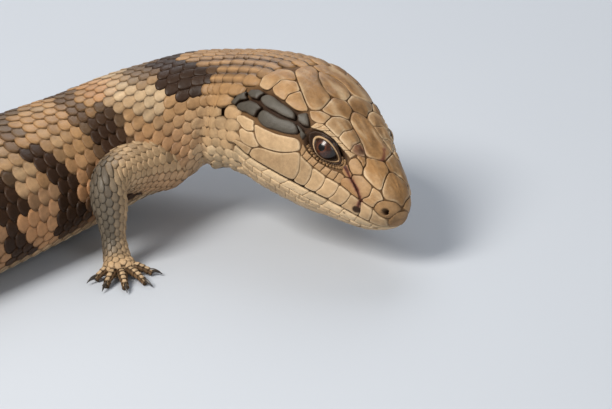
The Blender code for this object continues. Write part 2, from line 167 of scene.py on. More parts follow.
def smooth(x, y, at):
    """Monotone cubic curve through the points (x, y), read at the places 'at'."""
    x, y, at = np.asarray(x, float), np.asarray(y, float), np.asarray(at, float)
    step = np.diff(x)
    rise = np.diff(y) / step
    slope = np.concatenate(([rise[0]], np.zeros(len(x) - 2), [rise[-1]]))
    same_way = rise[:-1] * rise[1:] > 0
    before = 2 * step[1:] + step[:-1]
    after = step[1:] + 2 * step[:-1]
    safe = np.where(same_way, rise[:-1] * rise[1:], 1.0)
    mean = (before + after) * safe / (before * rise[1:] + after * rise[:-1] + (~same_way))
    slope[1:-1] = np.where(same_way, mean, 0.0)
    i = np.clip(np.searchsorted(x, at, side="right") - 1, 0, len(step) - 1)
    t = np.clip((at - x[i]) / step[i], 0, 1)
    start = y[i] * (2 * t**3 - 3 * t**2 + 1) + y[i + 1] * (3 * t**2 - 2 * t**3)
    bend = slope[i] * (t**3 - 2 * t**2 + t) + slope[i + 1] * (t**3 - t**2)
    return start + step[i] * bend


def ease(low, high, x):
    """Smooth step: 0 below low, 1 above high, 3t^2 - 2t^3 between (low may be the larger)."""
    t = np.clip((np.asarray(x, float) - low) / (high - low), 0, 1)
    return t * t * (3 - 2 * t)


def unit(v):
    """Vectors divided by their lengths."""
    return v / (np.linalg.norm(v, axis=-1)[..., None] + 1e-12)


def table(rows, at):
    """Straight-line reading of a two-column table."""
    rows = np.array(rows, float)
    return np.interp(at, rows[:, 0], rows[:, 1])


def profile(s):
    """Half width, top, depth and widest level of the body at distances s."""
    rows = np.array(STATIONS, float)
    return [smooth(rows[:, 0], rows[:, k], s) for k in range(1, 5)]


def build_spine():
    """Axis points and the forward, left and up directions every half millimetre."""
    s = np.arange(0, BODY_LENGTH + SPINE_STEP / 2, SPINE_STEP)
    depth = profile(s)[2]
    lying = np.maximum(depth - FLOOR_SINK, TAIL_LEAST)
    held_s = [row[0] for row in HEIGHTS] + [REST_FROM, REST_FROM + 12]
    held_h = [row[1] for row in HEIGHTS] + [np.interp(d, s, lying) for d in held_s[-2:]]
    nape_s, nape_h = HEIGHTS[0]
    pitch = math.radians(HEAD_PITCH)
    height = smooth(held_s, held_h, s)
    height = np.where(s < nape_s, nape_h - (nape_s - s) * math.sin(pitch), height)
    height = np.where(s >= REST_FROM, lying, height)
    turn = np.radians(smooth([row[0] for row in HEADINGS], [row[1] for row in HEADINGS], s))
    down = np.arcsin(np.clip(np.gradient(height, s), -0.9, 0.9))
    window = np.ones(2 * SLOPE_REACH + 1) / (2 * SLOPE_REACH + 1)
    eased = np.convolve(np.pad(down, SLOPE_REACH, "edge"), window, "valid")
    down = np.where(s < nape_s - 6, pitch, np.where(s > BODY_LENGTH - 8, 0, eased))
    roll = math.radians(HEAD_ROLL) * np.clip(
        (ROLL_FADE[1] - s) / (ROLL_FADE[1] - ROLL_FADE[0]), 0, 1)
    forward = np.stack([np.cos(turn) * np.cos(down), np.sin(turn) * np.cos(down),
                        -np.sin(down)], 1)
    level = np.stack([-np.sin(turn), np.cos(turn), 0 * turn], 1)
    upright = np.cross(forward, level)
    left = level * np.cos(roll)[:, None] + upright * np.sin(roll)[:, None]
    up = np.cross(forward, left)
    steps = -SPINE_STEP * (forward[1:] + forward[:-1]) / 2
    axis = np.vstack([np.zeros(3), np.cumsum(steps, 0)])
    axis[:, 2] = height
    axis[:, :2] -= [np.interp(ORIGIN_AT, s, axis[:, k]) for k in range(2)]
    return s, np.hstack([axis, forward, left, up])


SPINE_S, SPINE = build_spine()


def frame_at(s):
    """Axis point, forward, left and up directions at distances s, each (..., 3)."""
    s = np.asarray(s, float)
    rows = np.stack([np.interp(s, SPINE_S, SPINE[:, k]) for k in range(12)], -1)
    return [rows[..., k:k + 3] for k in (0, 3, 6, 9)]


def surface(s, degrees, grow=0.0):
    """Surface of the solids at distance s and angle from the crown, moved out by 'grow'.

    Each section is a superellipse with its own top and bottom half; the head's soft forms
    are added outwards from the axis, and nothing goes below the floor by more than 'grow'.
    """
    s, angle = np.broadcast_arrays(np.asarray(s, float), np.radians(degrees))
    width, top, depth, level = profile(s)
    power = np.interp(s, [55, 80], [2.5, 2.25])
    c, sn = np.cos(angle), np.sin(angle)
    r = (np.abs(c) ** power + np.abs(sn) ** power) ** (-1 / power)
    side = width * r * sn
    rise = np.where(c > 0, top - level, level + depth) * r * c
    away = np.degrees(np.arccos(np.clip(c, -1, 1)))
    form = sum(h * np.exp(-((s - at) / along) ** 2 - ((away - a) / round_) ** 2)
               for at, a, along, round_, h in HEAD_FORMS)
    out = np.hypot(side, rise) + 1e-9
    stretch = 1 + (form + grow) / out * np.clip(out / 3, 0, 1)
    axis, _, left, up = frame_at(s)
    point = (axis + left * (side * stretch)[..., None]
             + up * (level + rise * stretch)[..., None])
    point[..., 2] = np.maximum(point[..., 2], -np.asarray(grow))
    return point


def body_gap(points):
    """How far points lie outside the body surface, minus inside, measured from the axis.

    The nearest axis point gives the distance along; the gap is the point's distance from
    the axis less the surface's distance at the same angle.
    """
    flat = points.reshape(-1, 3)
    coarse = SPINE[::6, :3]
    near = np.argmin(((flat[:, None] - coarse[None]) ** 2).sum(-1), 1) * 6
    s = SPINE_S[near] - ((flat - SPINE[near, :3]) * SPINE[near, 3:6]).sum(1)
    s = np.clip(s, 0.5, BODY_LENGTH - 0.5)
    axis, _, left, up = frame_at(s)
    away = flat - axis
    y, z = (away * left).sum(1), (away * up).sum(1)
    here = surface(s, np.degrees(np.arctan2(y, z))) - axis
    gap = np.hypot(y, z) - np.linalg.norm(here, axis=1)
    return gap.reshape(points.shape[:-1]), s.reshape(points.shape[:-1])


class Stem:
    """Tube along a curve with its own across and over directions and oval section.

    A place on it is t from 0 to 1 along and an angle in degrees from its outer side.
    """

    def __init__(self, centre, across, wide, high):
        """Curve points, the wished across direction at each, half width and half height."""
        self.centre = np.asarray(centre, float)
        run = unit(np.gradient(self.centre, axis=0))
        across = np.asarray(across, float)
        self.across = unit(across - run * (across * run).sum(1)[:, None])
        self.over = np.cross(run, self.across)
        self.over *= np.sign((self.over[:, 2] + 1e-6).sum())
        self.wide, self.high = np.asarray(wide, float), np.asarray(high, float)
        steps = np.linalg.norm(np.diff(self.centre, axis=0), axis=1)
        self.length = steps.sum()
        self.t = np.concatenate([[0], np.cumsum(steps)]) / self.length

    def read(self, values, t):
        """Values kept along the stem, read at t."""
        if values.ndim == 1:
            return np.interp(t, self.t, values)
        return np.stack([np.interp(t, self.t, values[:, k]) for k in range(3)], -1)

    def point(self, t, degrees, lift=0.0):
        """Surface point: centre + across * (wide + lift) sin + over * (high + lift) cos."""
        t, angle = np.broadcast_arrays(np.asarray(t, float), np.radians(degrees))
        wide = self.read(self.wide, t) + lift
        high = self.read(self.high, t) + lift
        place = (self.read(self.centre, t)
                 + self.read(self.across, t) * (wide * np.sin(angle))[..., None]
                 + self.read(self.over, t) * (high * np.cos(angle))[..., None])
        place[..., 2] = np.maximum(place[..., 2], 0.03 - np.asarray(lift) * 0.5)
        return place


def beside(distance, side, out, height):
    """Point at a distance out from the axis on one side, at a height above the floor."""
    axis, forward, _, _ = frame_at(distance)
    ahead = forward[:2] / np.linalg.norm(forward[:2])
    flat = axis[:2] + side * out * np.array([-ahead[1], ahead[0]])
    return np.array([*flat, height])


def leg_facts(name):
    """Side, whether it is a fore leg, joints, the foot's heading and its middle point."""
    side = SIDES[name.split("_")[1]]
    fore = name.startswith("fore")
    joints = np.array([beside(d, side, out, height) for d, out, height in LEGS[name]])
    reach, heading = FEET[name]
    turn = math.radians(heading)
    toward = np.array([math.cos(turn), math.sin(turn), 0.0])
    middle = joints[2] * [1, 1, 0] + toward * reach
    return side, fore, joints, toward, turn, middle


def leg_stem(name):
    """Leg and palm as one stem: from inside the trunk over the joint down to the sole."""
    _, fore, joints, toward, _, middle = leg_facts(name)
    t = np.linspace(0, 2, 81)
    line = np.stack([np.interp(t, [0, 1, 2], joints[:, k]) for k in range(3)], 1)
    window = np.hanning(2 * LEG_CORNER + 3)[1:-1]
    window /= window.sum()
    padded = np.vstack([2 * line[0] - line[LEG_CORNER:0:-1], line,
                        2 * line[-1] - line[-2:-2 - LEG_CORNER:-1]])
    limb = np.stack([np.convolve(padded[:, k], window, "valid") for k in range(3)], 1)
    limb = limb[:-5]
    palm = middle + toward * np.array(PALM_AHEAD)[:, None]
    palm[:, 2] = PALM_HEIGHT
    knots = np.vstack([limb[::5], palm])
    at = np.linspace(0, 1, len(knots))
    many = np.linspace(0, 1, 121)
    centre = np.stack([smooth(at, knots[:, k], many) for k in range(3)], 1)
    thick = FORE_RADII if fore else HIND_RADII
    share = at[len(limb[::5]) - 1]
    body = smooth(np.linspace(0, share, len(thick)), thick, np.minimum(many, share))
    palm_wide, palm_high = FORE_PALM if fore else HIND_PALM
    flat = ease(share - 0.02, share + 0.12, many)
    tip = ease(0.93, 1.0, many)
    wide = body + (palm_wide - body) * flat - 1.4 * tip
    high = body + (palm_high - body) * flat - 0.8 * tip
    muscle = 0.5 * np.exp(-((many - 0.25) / 0.12) ** 2) + 0.4 * np.exp(-((many - 0.58) / 0.1) ** 2)
    _, forward, _, _ = frame_at(LEGS[name][0][0] + 15 * (1 if fore else -1))
    foot_left = np.array([-toward[1], toward[0], 0.0])
    foot_left *= np.sign(foot_left @ forward)
    mix = ease(0.45, 0.9, many)[:, None]
    return Stem(centre, forward * (1 - mix) + foot_left * mix, wide + muscle, high + muscle)


def toe_stems(name):
    """Toe stems of one foot, from inside the palm over the knuckle to the claw's root."""
    side, fore, _, _, turn, middle = leg_facts(name)
    along, height = np.array(TOE_COURSE).T
    stems = []
    for fan, length in FORE_TOES if fore else HIND_TOES:
        angle = turn + side * math.radians(-fan)
        way = np.array([math.cos(angle), math.sin(angle), 0.0])
        knots = middle + way * (length * along)[:, None]
        knots[:, 2] = height
        many = np.linspace(0, 1, 25)
        centre = np.stack([smooth(along, knots[:, k], 0.15 + 0.85 * many) for k in range(3)], 1)
        radius = np.interp(0.15 + 0.85 * many, along, TOE_RADII)
        radius = radius + 0.08 * np.cos(many * 4 * np.pi)
        across = np.tile(np.cross([0.0, 0.0, 1.0], way), (len(many), 1))
        stems.append(Stem(centre, across, radius, radius * 0.98))
    return stems


LEG_STEMS = {name: leg_stem(name) for name in LEGS}
FILLET = 7.0           # reach over which a leg's root and the trunk swell towards each other


def leg_gap(points):
    """Least distance of points outside any leg: distance to its curve less its radius."""
    flat = points.reshape(-1, 3)
    best = np.full(len(flat), 99.0)
    for stem in LEG_STEMS.values():
        centre, radius = stem.centre[:80:3], stem.wide[:80:3]
        distance = np.linalg.norm(flat[:, None] - centre[None], axis=-1) - radius[None]
        best = np.minimum(best, distance.min(1))
    return best.reshape(points.shape[:-1])


TABLE_ANGLES = np.arange(-180.0, 181, 5)
TABLE_S = np.arange(44.0, 130, 1)
BEHIND = -((surface(TABLE_S[:, None], TABLE_ANGLES[None]) - SPINE[0, :3]) @ SPINE[0, 3:6])
BEHIND = np.maximum.accumulate(BEHIND, 0) + 1e-3 * np.arange(len(TABLE_S))[:, None]
BENT = np.stack([np.interp(TABLE_S, column, TABLE_S) for column in BEHIND.T], 1)


def read_grid(grid, s, degrees):
    """Straight-line reading of a table whose rows are distances and columns angles."""
    s, degrees = np.broadcast_arrays(np.asarray(s, float), degrees)
    row = np.clip(s - TABLE_S[0], 0, len(TABLE_S) - 1.001)
    column = np.clip((degrees + 180) / 5, 0, len(TABLE_ANGLES) - 1.001)
    i, j = row.astype(int), column.astype(int)
    u, v = row - i, column - j
    low = grid[i, j] * (1 - u) + grid[i + 1, j] * u
    high = grid[i, j + 1] * (1 - u) + grid[i + 1, j + 1] * u
    return np.where(s < 46, s, low * (1 - v) + high * v)


def settled(straight, degrees):
    """Distance on the bent body of places measured straight back from the snout."""
    return read_grid(BENT, straight, degrees)


def straightened(s, degrees):
    """Distance straight back from the snout of places on the bent body."""
    return read_grid(BEHIND, s, degrees)


# angle, distance of the crease behind the jaw, on the inner (right) and outer side of the bend
CREASE = ((-180, 86), (-150, 85), (-112, 81.2), (-92, 78), (-76, 74.8), (-62, 70.8), (-40, 68),
          (0, 66), (60, 64), (110, 66), (180, 86))


def neck_folds(s, degrees):
    """Crease behind the jaw with the jowl swelling before it, and softer folds behind.

    Each is a ridge or groove of bell shape along the distance; the inner side of the bent
    neck has them in full and the outer side faintly. Millimetres, minus inwards.
    """
    inner = ease(-48, -74, degrees) * ease(-176, -150, degrees)
    outer = 0.25 * ease(40, 80, degrees) * ease(176, 150, degrees)
    behind = s - table(CREASE, degrees)
    groove = -1.7 * np.exp(-(behind / 3.2) ** 2) + 1.2 * np.exp(-((behind + 6.5) / 4.2) ** 2)
    soft = -0.35 * np.exp(-((behind - 8) / 1.5) ** 2) - 0.35 * np.exp(-((behind - 15) / 1.8) ** 2)
    return (inner + outer) * groove + inner * soft


def hide(s, degrees, lift):
    """Body surface with the neck's folds and with the roots of the legs eased in."""
    s, degrees, lift = np.broadcast_arrays(np.asarray(s, float), degrees, lift)
    place = surface(s, degrees, lift + neck_folds(s, degrees))
    near = ((s > 74) & (s < 165)) | ((s > 240) & (s < 325))
    if near.any():
        some = place[near]
        gap = leg_gap(some)
        swell = FILLET / 4 * np.clip(1 - np.abs(gap) / FILLET, 0, 1) ** 2
        outward = unit(some - frame_at(s[near])[0])
        some = some + outward * swell[:, None]
        some[:, 2] = np.maximum(some[:, 2], -lift[near])
        place[near] = some
    return place


def limb(stem, t, degrees, lift, eased=True):
    """Leg surface, swollen towards the trunk where it comes near it."""
    t, degrees, lift = np.broadcast_arrays(np.asarray(t, float), degrees, lift)
    place = stem.point(t, degrees, lift)
    if eased:
        gap, _ = body_gap(place)
        swell = FILLET / 4 * np.clip(1 - np.abs(gap) / FILLET, 0, 1) ** 2
        place = place + unit(place - stem.read(stem.centre, t)) * swell[..., None]
        place[..., 2] = np.maximum(place[..., 2], 0.03)
    return place


def value_noise(points, size, seed):
    """Smooth noise from 0 to 1: hashed lattice values, eased between, 'size' mm apart."""
    p = np.asarray(points, float) / size + 1000 + 17.3 * seed
    cell = np.floor(p).astype(np.int64)
    t = p - cell
    t = t * t * (3 - 2 * t)
    total = 0
    for corner in np.ndindex(2, 2, 2):
        x, y, z = (cell[..., k] + corner[k] for k in range(3))
        mixed = (x * 73856093) ^ (y * 19349663) ^ (z * 83492791) ^ (seed * 2654435)
        hashed = ((mixed * 1103515245 + 12345) >> 8) % 10007 / 10007.0
        weight = 1
        for k in range(3):
            weight = weight * (t[..., k] if corner[k] else 1 - t[..., k])
        total = total + hashed * weight
    return total


def chance(index, seed):
    """Fixed pseudo-random numbers from 0 to 1 for whole-number indices."""
    value = np.sin(np.asarray(index, float) * 12.9898 + seed * 78.233) * 43758.5453
    return value - np.floor(value)


def clouds(points):
    """Ragged noise that frays the markings' edges, and slow noise that shifts the bands."""
    return (0.65 * value_noise(points, 6.0, 1) + 0.35 * value_noise(points, 2.6, 2),
            value_noise(points, 21.0, 5))


MARKS = ("pale", "dark", "slate", "rust", "blush", "tone", "rim")


def marks(shape, **given):
    """One array for each mark, 0 where not given."""
    return {k: np.broadcast_to(np.asarray(given.get(k, 0.0), float), shape).copy() for k in MARKS}


def raised(found, key, value):
    """Raises one mark to a value where it is less."""
    found[key] = np.maximum(found[key], value)


def spot(s, degrees, at_s, at_degrees, reach_s, reach_degrees, hard=0.3):
    """Oval blot with soft rim: 1 inside, 0 outside."""
    r = np.hypot((s - at_s) / reach_s, (degrees - at_degrees) / reach_degrees)
    return ease(1 + hard, 1 - hard, r)


BAND_FIRST = 118.0     # middle of the first dark band behind the shoulder
BAND_STEP = 23.5       # distance between bands
# angle from the crown, middle of the dark neck band, its half width
NECK_BAND = ((0, 91, 3.6), (20, 87.6, 5.5), (36, 82.2, 8.6), (48, 79.6, 8.4), (56, 80.5, 4.5),
             (62, 81, 2))


# small dark spots on the neck's and shoulder's right side: distance, angle, reach
NECK_SPOTS = ((86.8, -83, 1.7), (93.6, -69, 1.3), (77, -158, 1.6), (117, -60, 2.5),
              (127, -62, 2.5), (121.5, -70, 2.2))
# angle from the crown, distance of the thin dark line below the band
NECK_LINE = ((50, 86.8), (63, 82.4), (74, 78.4))


def body_marks(s, degrees, ragged, drift):
    """Markings of neck, trunk and tail at distance s and angle.

    A dark band runs from the nape forwards and down each side of the neck. Broad dark bands
    cross back and flanks, broken by noise; the flanks between are warm, and the belly is
    cream with a few dark flecks.
    """
    away = np.abs(degrees)
    noise = ragged - 0.5
    band = np.cos(2 * np.pi * ((s - BAND_FIRST) / BAND_STEP + 0.45 * noise
                               + 0.5 * (drift - 0.5)))
    strength = (0.7 + 0.3 * ease(10, 40, away)) * ease(101, 112, s)
    banded = ease(-0.15, 0.30, band + 1.2 * noise + 1.1 * (drift - 0.55)) * strength
    belly_edge = 100 + 18 * noise
    belly = ease(belly_edge, belly_edge + 26, away)
    flecks = ease(0.70, 0.80, ragged) * ease(175, 120, away) * ease(101, 112, s)
    dark = banded * (1 - belly) + 0.6 * flecks * belly
    rows = np.array(NECK_BAND)
    off = np.abs(s - table(rows[:, :2], away)) - table(rows[:, ::2], away) - 4.0 * noise
    neck = ease(0.6, -0.6, off) * ease(65, 61, away)
    dark = np.maximum(dark, neck)
    grey = spot(s, degrees, 96.5, 2, 4.5, 28, 0.4)
    dark = np.maximum(dark, 0.35 * grey)
    diagonal = np.abs(s - table(NECK_LINE, away)) < 1.0
    dark = np.maximum(dark, 0.7 * diagonal * ease(49, 52, away) * ease(76, 73, away))
    for at_s, at_degrees, size in NECK_SPOTS:
        dark = np.maximum(dark, spot(s, degrees, at_s, at_degrees, size, 2.6 * size))
    pale = 0.10 + 0.90 * belly + 0.45 * ease(58, 85, away) * ease(104, 70, s)
    pale = pale + 0.8 * spot(s, away, 95.5, 44, 6, 17, 0.5)
    pale = pale + 0.7 * spot(s, away, 104, 20, 5, 16, 0.5)
    pale = pale + 0.35 * ease(0.45, 0.7, ragged) * ease(100, 115, s)
    blush = 0.65 * ease(45, 75, away) * ease(125, 100, away) * ease(90, 120, s)
    blush = blush + 0.45 * ease(60, 100, away) * ease(72, 92, s) * ease(116, 98, s)
    blush = blush + 0.45 * spot(s, away, 110, 6, 4, 16, 0.4)
    return {"pale": np.clip(pale, 0, 1), "dark": np.clip(dark, 0, 1),
            "slate": 0.5 * grey, "blush": np.clip(blush, 0, 1)}


def leg_marks(name, t, degrees, ragged):
    """Markings of a leg: slate over the outer back edge, cream in front, warm beneath."""
    turned = degrees if name in ("fore_left", "hind_right") else -degrees
    behind = ease(150, 60, np.abs((turned - 75 + 180) % 360 - 180))
    slate = behind * ease(0.30, 0.48, t) * ease(0.97, 0.80, t)
    under = ease(110, 160, np.abs(degrees))
    dark = 0.75 * ease(0.60, 0.72, ragged) * (1 - under)
    if name.startswith("fore"):
        dark = dark * 0.45
    pale = 0.62 + 0.25 * under
    blush = 0.5 * under * ease(0.55, 0.2, t)
    return {"pale": pale, "dark": dark, "slate": 0.9 * slate, "blush": blush}


def ring_faces(rings, count, looped):
    """Quads between neighbouring rings of 'count' points, and between last and first if looped."""
    last = rings if looped else rings - 1
    i, j = np.meshgrid(np.arange(last), np.arange(count), indexing="ij")
    up, on = (i + 1) % rings, (j + 1) % count
    corners = [i * count + j, i * count + on, up * count + on, up * count + j]
    return np.stack(corners, -1).reshape(-1, 4)


def turned_out(mesh):
    """Mesh with all its faces turned over if its signed volume is negative."""
    co = np.zeros(len(mesh.vertices) * 3)
    mesh.vertices.foreach_get("co", co)
    co = co.reshape(-1, 3)
    mesh.calc_loop_triangles()
    tri = np.zeros(len(mesh.loop_triangles) * 3, np.int32)
    mesh.loop_triangles.foreach_get("vertices", tri)
    a, b, c = (co[tri.reshape(-1, 3)[:, k]] for k in range(3))
    if (a * np.cross(b, c)).sum() < 0:
        mesh.flip_normals()
    return mesh


def tube_mesh(name, points, values, maps=None, looped=False):
    """Mesh of closed tubes, facing outwards, from points (tubes, rings, count, 3) in mm.

    Rings are joined by quads and each end ring is filled, unless the rings close in a loop.
    'values' are float attributes on the points, 'maps' the texture place of each point.
    """
    tubes, rings, count, _ = points.shape
    start = np.arange(tubes)[:, None, None] * rings * count
    quads = (ring_faces(rings, count, looped)[None] + start).reshape(-1, 4)
    caps = np.zeros((0, count), int)
    if not looped:
        first = np.arange(count)[::-1][None]
        last = (rings - 1) * count + np.arange(count)[None]
        caps = (np.concatenate([first, last])[None] + start).reshape(-1, count)
    corners = np.concatenate([quads.ravel(), caps.ravel()]).astype(np.int32)
    sizes = np.concatenate([np.full(len(quads), 4), np.full(len(caps), count)])
    starts = np.concatenate([[0], np.cumsum(sizes)[:-1]]).astype(np.int32)
    mesh = bpy.data.meshes.new(name)
    mesh.vertices.add(tubes * rings * count)
    mesh.vertices.foreach_set("co", (points.reshape(-1) * MM).astype(np.float32))
    mesh.loops.add(len(corners))
    mesh.loops.foreach_set("vertex_index", corners)
    mesh.polygons.add(len(sizes))
    mesh.polygons.foreach_set("loop_start", starts)
    mesh.polygons.foreach_set("use_smooth", np.ones(len(sizes), bool))
    mesh.update(calc_edges=True)
    for key, array in values.items():
        layer = mesh.attributes.new(key, "FLOAT", "POINT")
        whole = np.broadcast_to(array, points.shape[:3]).reshape(-1)
        layer.data.foreach_set("value", whole.astype(np.float32))
    if maps is not None:
        layer = mesh.uv_layers.new(name="OFBake")
        layer.uv.foreach_set("vector", maps.reshape(-1, 2)[corners].reshape(-1).astype(np.float32))
    return turned_out(mesh)


def joined(name, meshes):
    """One mesh from several, with their attributes and maps."""
    parts = [bpy.data.objects.new("part", mesh) for mesh in meshes]
    for part in parts:
        bpy.context.scene.collection.objects.link(part)
    for other in bpy.context.selected_objects:
        other.select_set(False)
    for part in parts:
        part.select_set(True)
    bpy.context.view_layer.objects.active = parts[0]
    bpy.ops.object.join()
    mesh = parts[0].data
    mesh.name = name
    bpy.data.objects.remove(parts[0])
    return mesh


def piece(name, mesh, look, stands_for=()):
    """Shown object that rides on the body and replaces CAD nodes."""
    old = bpy.data.objects.get(name)
    if old is not None and old.get("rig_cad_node") is None:
        bpy.data.objects.remove(old)
    made = bpy.data.objects.new(name, mesh)
    bpy.context.scene.collection.objects.link(made)
    mesh.materials.clear()
    mesh.materials.append(look)
    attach(made, "root")
    if stands_for:
        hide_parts(*stands_for)
    return made


def body_map(s, degrees):
    """Place on the unwrap of the body: distance up, angle across."""
    turned = (np.asarray(degrees) + 180) % 360 / 360
    return np.stack([0.02 + 0.74 * turned, 0.01 + 0.98 * np.asarray(s) / BODY_LENGTH], -1)


def leg_map(number, t, degrees):
    """Place on the unwrap of a leg: a quarter of the right edge, t up, angle across."""
    turned = (np.asarray(degrees) + 180) % 360 / 360
    return np.stack([0.80 + 0.18 * turned, (number + 0.04 + 0.6 * np.asarray(t)) / 4], -1)


def toe_map(number, toe, t, degrees):
    """Place on the unwrap of a toe, above its leg's."""
    turned = (np.asarray(degrees) + 180) % 360 / 360
    across = 0.80 + 0.036 * toe + 0.032 * turned
    return np.stack([across, (number + 0.68 + 0.28 * np.asarray(t)) / 4], -1)


class Nodes:
    """Short way to add and join nodes in one material."""

    def __init__(self, name):
        """New material with only its shader and output."""
        self.material = bpy.data.materials.get(name) or bpy.data.materials.new(name)
        self.material.use_nodes = True
        self.tree = self.material.node_tree
        self.tree.nodes.clear()
        self.shader = self.add("ShaderNodeBsdfPrincipled")
        output = self.add("ShaderNodeOutputMaterial")
        self.tree.links.new(self.shader.outputs[0], output.inputs[0])

    def add(self, kind, **settings):
        """New node with its settings."""
        node = self.tree.nodes.new(kind)
        for key, value in settings.items():
            setattr(node, key, value)
        return node

    def put(self, value, socket):
        """A number, a colour or another node's output into a socket."""
        if isinstance(value, bpy.types.NodeSocket):
            self.tree.links.new(value, socket)
        elif isinstance(socket.default_value, float):
            socket.default_value = value
        else:
            socket.default_value = (*value, 1)[:len(socket.default_value)]

    def mark(self, name):
        """A mark read from the mesh."""
        return self.add("ShaderNodeAttribute", attribute_name=name).outputs["Fac"]

    def maths(self, operation, *values, clamp=False):
        """Arithmetic on numbers."""
        node = self.add("ShaderNodeMath", operation=operation, use_clamp=clamp)
        for value, socket in zip(values, node.inputs):
            self.put(value, socket)
        return node.outputs[0]

    def mixed(self, share, low, high, blend="MIX"):
        """Colour between low and high."""
        node = self.add("ShaderNodeMix", data_type="RGBA", blend_type=blend)
        self.put(share, node.inputs[0])
        self.put(low, node.inputs[6])
        self.put(high, node.inputs[7])
        return node.outputs[2]

    def noise(self, size, detail=2.0, stretch=None):
        """Noise on the object's own coordinates; size is its grain in metres."""
        place = self.add("ShaderNodeTexCoord").outputs["Object"]
        if stretch is not None:
            turn = self.add("ShaderNodeMapping")
            turn.inputs["Scale"].default_value = stretch
            self.put(place, turn.inputs["Vector"])
            place = turn.outputs[0]
        node = self.add("ShaderNodeTexNoise")
        self.put(place, node.inputs["Vector"])
        node.inputs["Scale"].default_value = 1 / size
        node.inputs["Detail"].default_value = detail
        return node.outputs["Fac"]

    def span(self, value, low, high, to_low=0.0, to_high=1.0):
        """Straight map from one range to another, held at its ends."""
        node = self.add("ShaderNodeMapRange")
        for number, socket in zip((value, low, high, to_low, to_high), node.inputs):
            self.put(number, socket)
        return node.outputs[0]


# grain in metres and detail of the noises on the skin
GRAINS = {"broad": (0.011, 3.0), "freckle": (0.0042, 4.0), "fine": (0.0011, 3.0),
          "grain": (0.00032, 2.0)}
LIGHTENING = {"broad": 0.45, "fine": 0.50, "grain": 0.22}    # their share in the skin's lightness
TONE_STEP = 0.13       # lightness of the palest scale over the middle one


def scaly_material(name, colours, roughness, gloss):
    """Horny skin: the marks choose between the named colours, noise breaks them up.

    Tan turns to cream by 'pale', then to blush, slate, rust and dark by their marks.
    'tone' lightens or darkens a whole scale and 'rim' darkens its edge; the fine noise and
    the grain give the surface its bump.
    """
    n = Nodes(name)
    noises = {key: n.noise(*grain) for key, grain in GRAINS.items()}
    colour = n.mixed(n.mark("pale"), colours.tan, colours.cream)
    freckle = n.span(noises["freckle"], 0.50, 0.68)
    shade = n.maths("MULTIPLY", freckle, n.maths("SUBTRACT", 0.34, n.maths(
        "MULTIPLY", n.mark("pale"), 0.22)))
    colour = n.mixed(shade, colour, colours.brown)
    for key in ("blush", "slate", "rust", "dark"):
        colour = n.mixed(n.mark(key), colour, getattr(colours, key))
    light = n.maths("MULTIPLY_ADD", n.mark("tone"), TONE_STEP, 1.0)
    for key, share in LIGHTENING.items():
        light = n.maths("MULTIPLY_ADD", n.maths("SUBTRACT", noises[key], 0.5), share, light)
    grey = n.add("ShaderNodeCombineColor")
    for socket in grey.inputs:
        n.put(light, socket)
    colour = n.mixed(1.0, colour, grey.outputs[0], "MULTIPLY")
    colour = n.mixed(n.mark("rim"), colour, colours.suture)
    n.put(colour, n.shader.inputs["Base Color"])
    rough = n.maths("MULTIPLY_ADD", noises["fine"], 0.22, roughness - 0.11)
    n.put(rough, n.shader.inputs["Roughness"])
    n.shader.inputs["Specular IOR Level"].default_value = 0.12 + 2 * gloss
    n.shader.inputs["Coat Weight"].default_value = gloss
    n.shader.inputs["Coat Roughness"].default_value = 0.30
    height = n.maths("MULTIPLY_ADD", noises["grain"], 0.5, noises["fine"])
    bump = n.add("ShaderNodeBump")
    bump.inputs["Strength"].default_value = 0.8
    bump.inputs["Distance"].default_value = 0.00016
    n.put(height, bump.inputs["Height"])
    n.put(bump.outputs[0], n.shader.inputs["Normal"])
    return n.material


def horn_material(name, colour, tip):
    """Claw horn: streaked, dark towards the tip, polished."""
    n = Nodes(name)
    streak = n.noise(0.0006, 2.0)
    share = n.maths("MULTIPLY", n.mark("along"), 0.8)
    n.put(n.mixed(n.maths("MULTIPLY_ADD", streak, 0.3, share, clamp=True), colour, tip),
          n.shader.inputs["Base Color"])
    n.put(n.maths("MULTIPLY_ADD", streak, 0.2, 0.22), n.shader.inputs["Roughness"])
    n.shader.inputs["Coat Weight"].default_value = 0.3
    return n.material


def eye_material(name, iris, ring, white):
    """Wet eyeball: black pupil, reddish brown iris with a paler inner ring, dark rim.

    'off' is the distance in millimetres from the middle of the pupil over the ball; noise
    bends the rings and draws the iris's fibres.
    """
    n = Nodes(name)
    off = n.mark("off")
    fibres = n.noise(0.00045, 3.0)
    bent = n.maths("MULTIPLY_ADD", n.maths("SUBTRACT", fibres, 0.5), 0.5, off)
    colour = n.mixed(n.span(bent, 1.15, 1.75), ring, iris)
    colour = n.mixed(n.span(fibres, 0.45, 0.75, 0.0, 0.5), colour, ring)
    colour = n.mixed(n.span(off, 2.3, 3.2), colour, white)
    colour = n.mixed(n.span(off, 1.0, 1.16, 1.0, 0.0), colour, (0.002, 0.002, 0.002))
    n.put(colour, n.shader.inputs["Base Color"])
    n.shader.inputs["Roughness"].default_value = 0.25
    n.shader.inputs["Coat Weight"].default_value = 0.5
    n.shader.inputs["Coat Roughness"].default_value = 0.03
    n.shader.inputs["Specular IOR Level"].default_value = 0.3
    return n.material


def floor_material(name, colour):
    """Pale matt floor with the faintest mottling."""
    n = Nodes(name)
    cloud = n.noise(0.25, 2.0)
    n.put(n.mixed(n.maths("MULTIPLY", cloud, 0.06), colour, (1.0, 1.0, 1.0)),
          n.shader.inputs["Base Color"])
    n.shader.inputs["Roughness"].default_value = 0.75
    return n.material


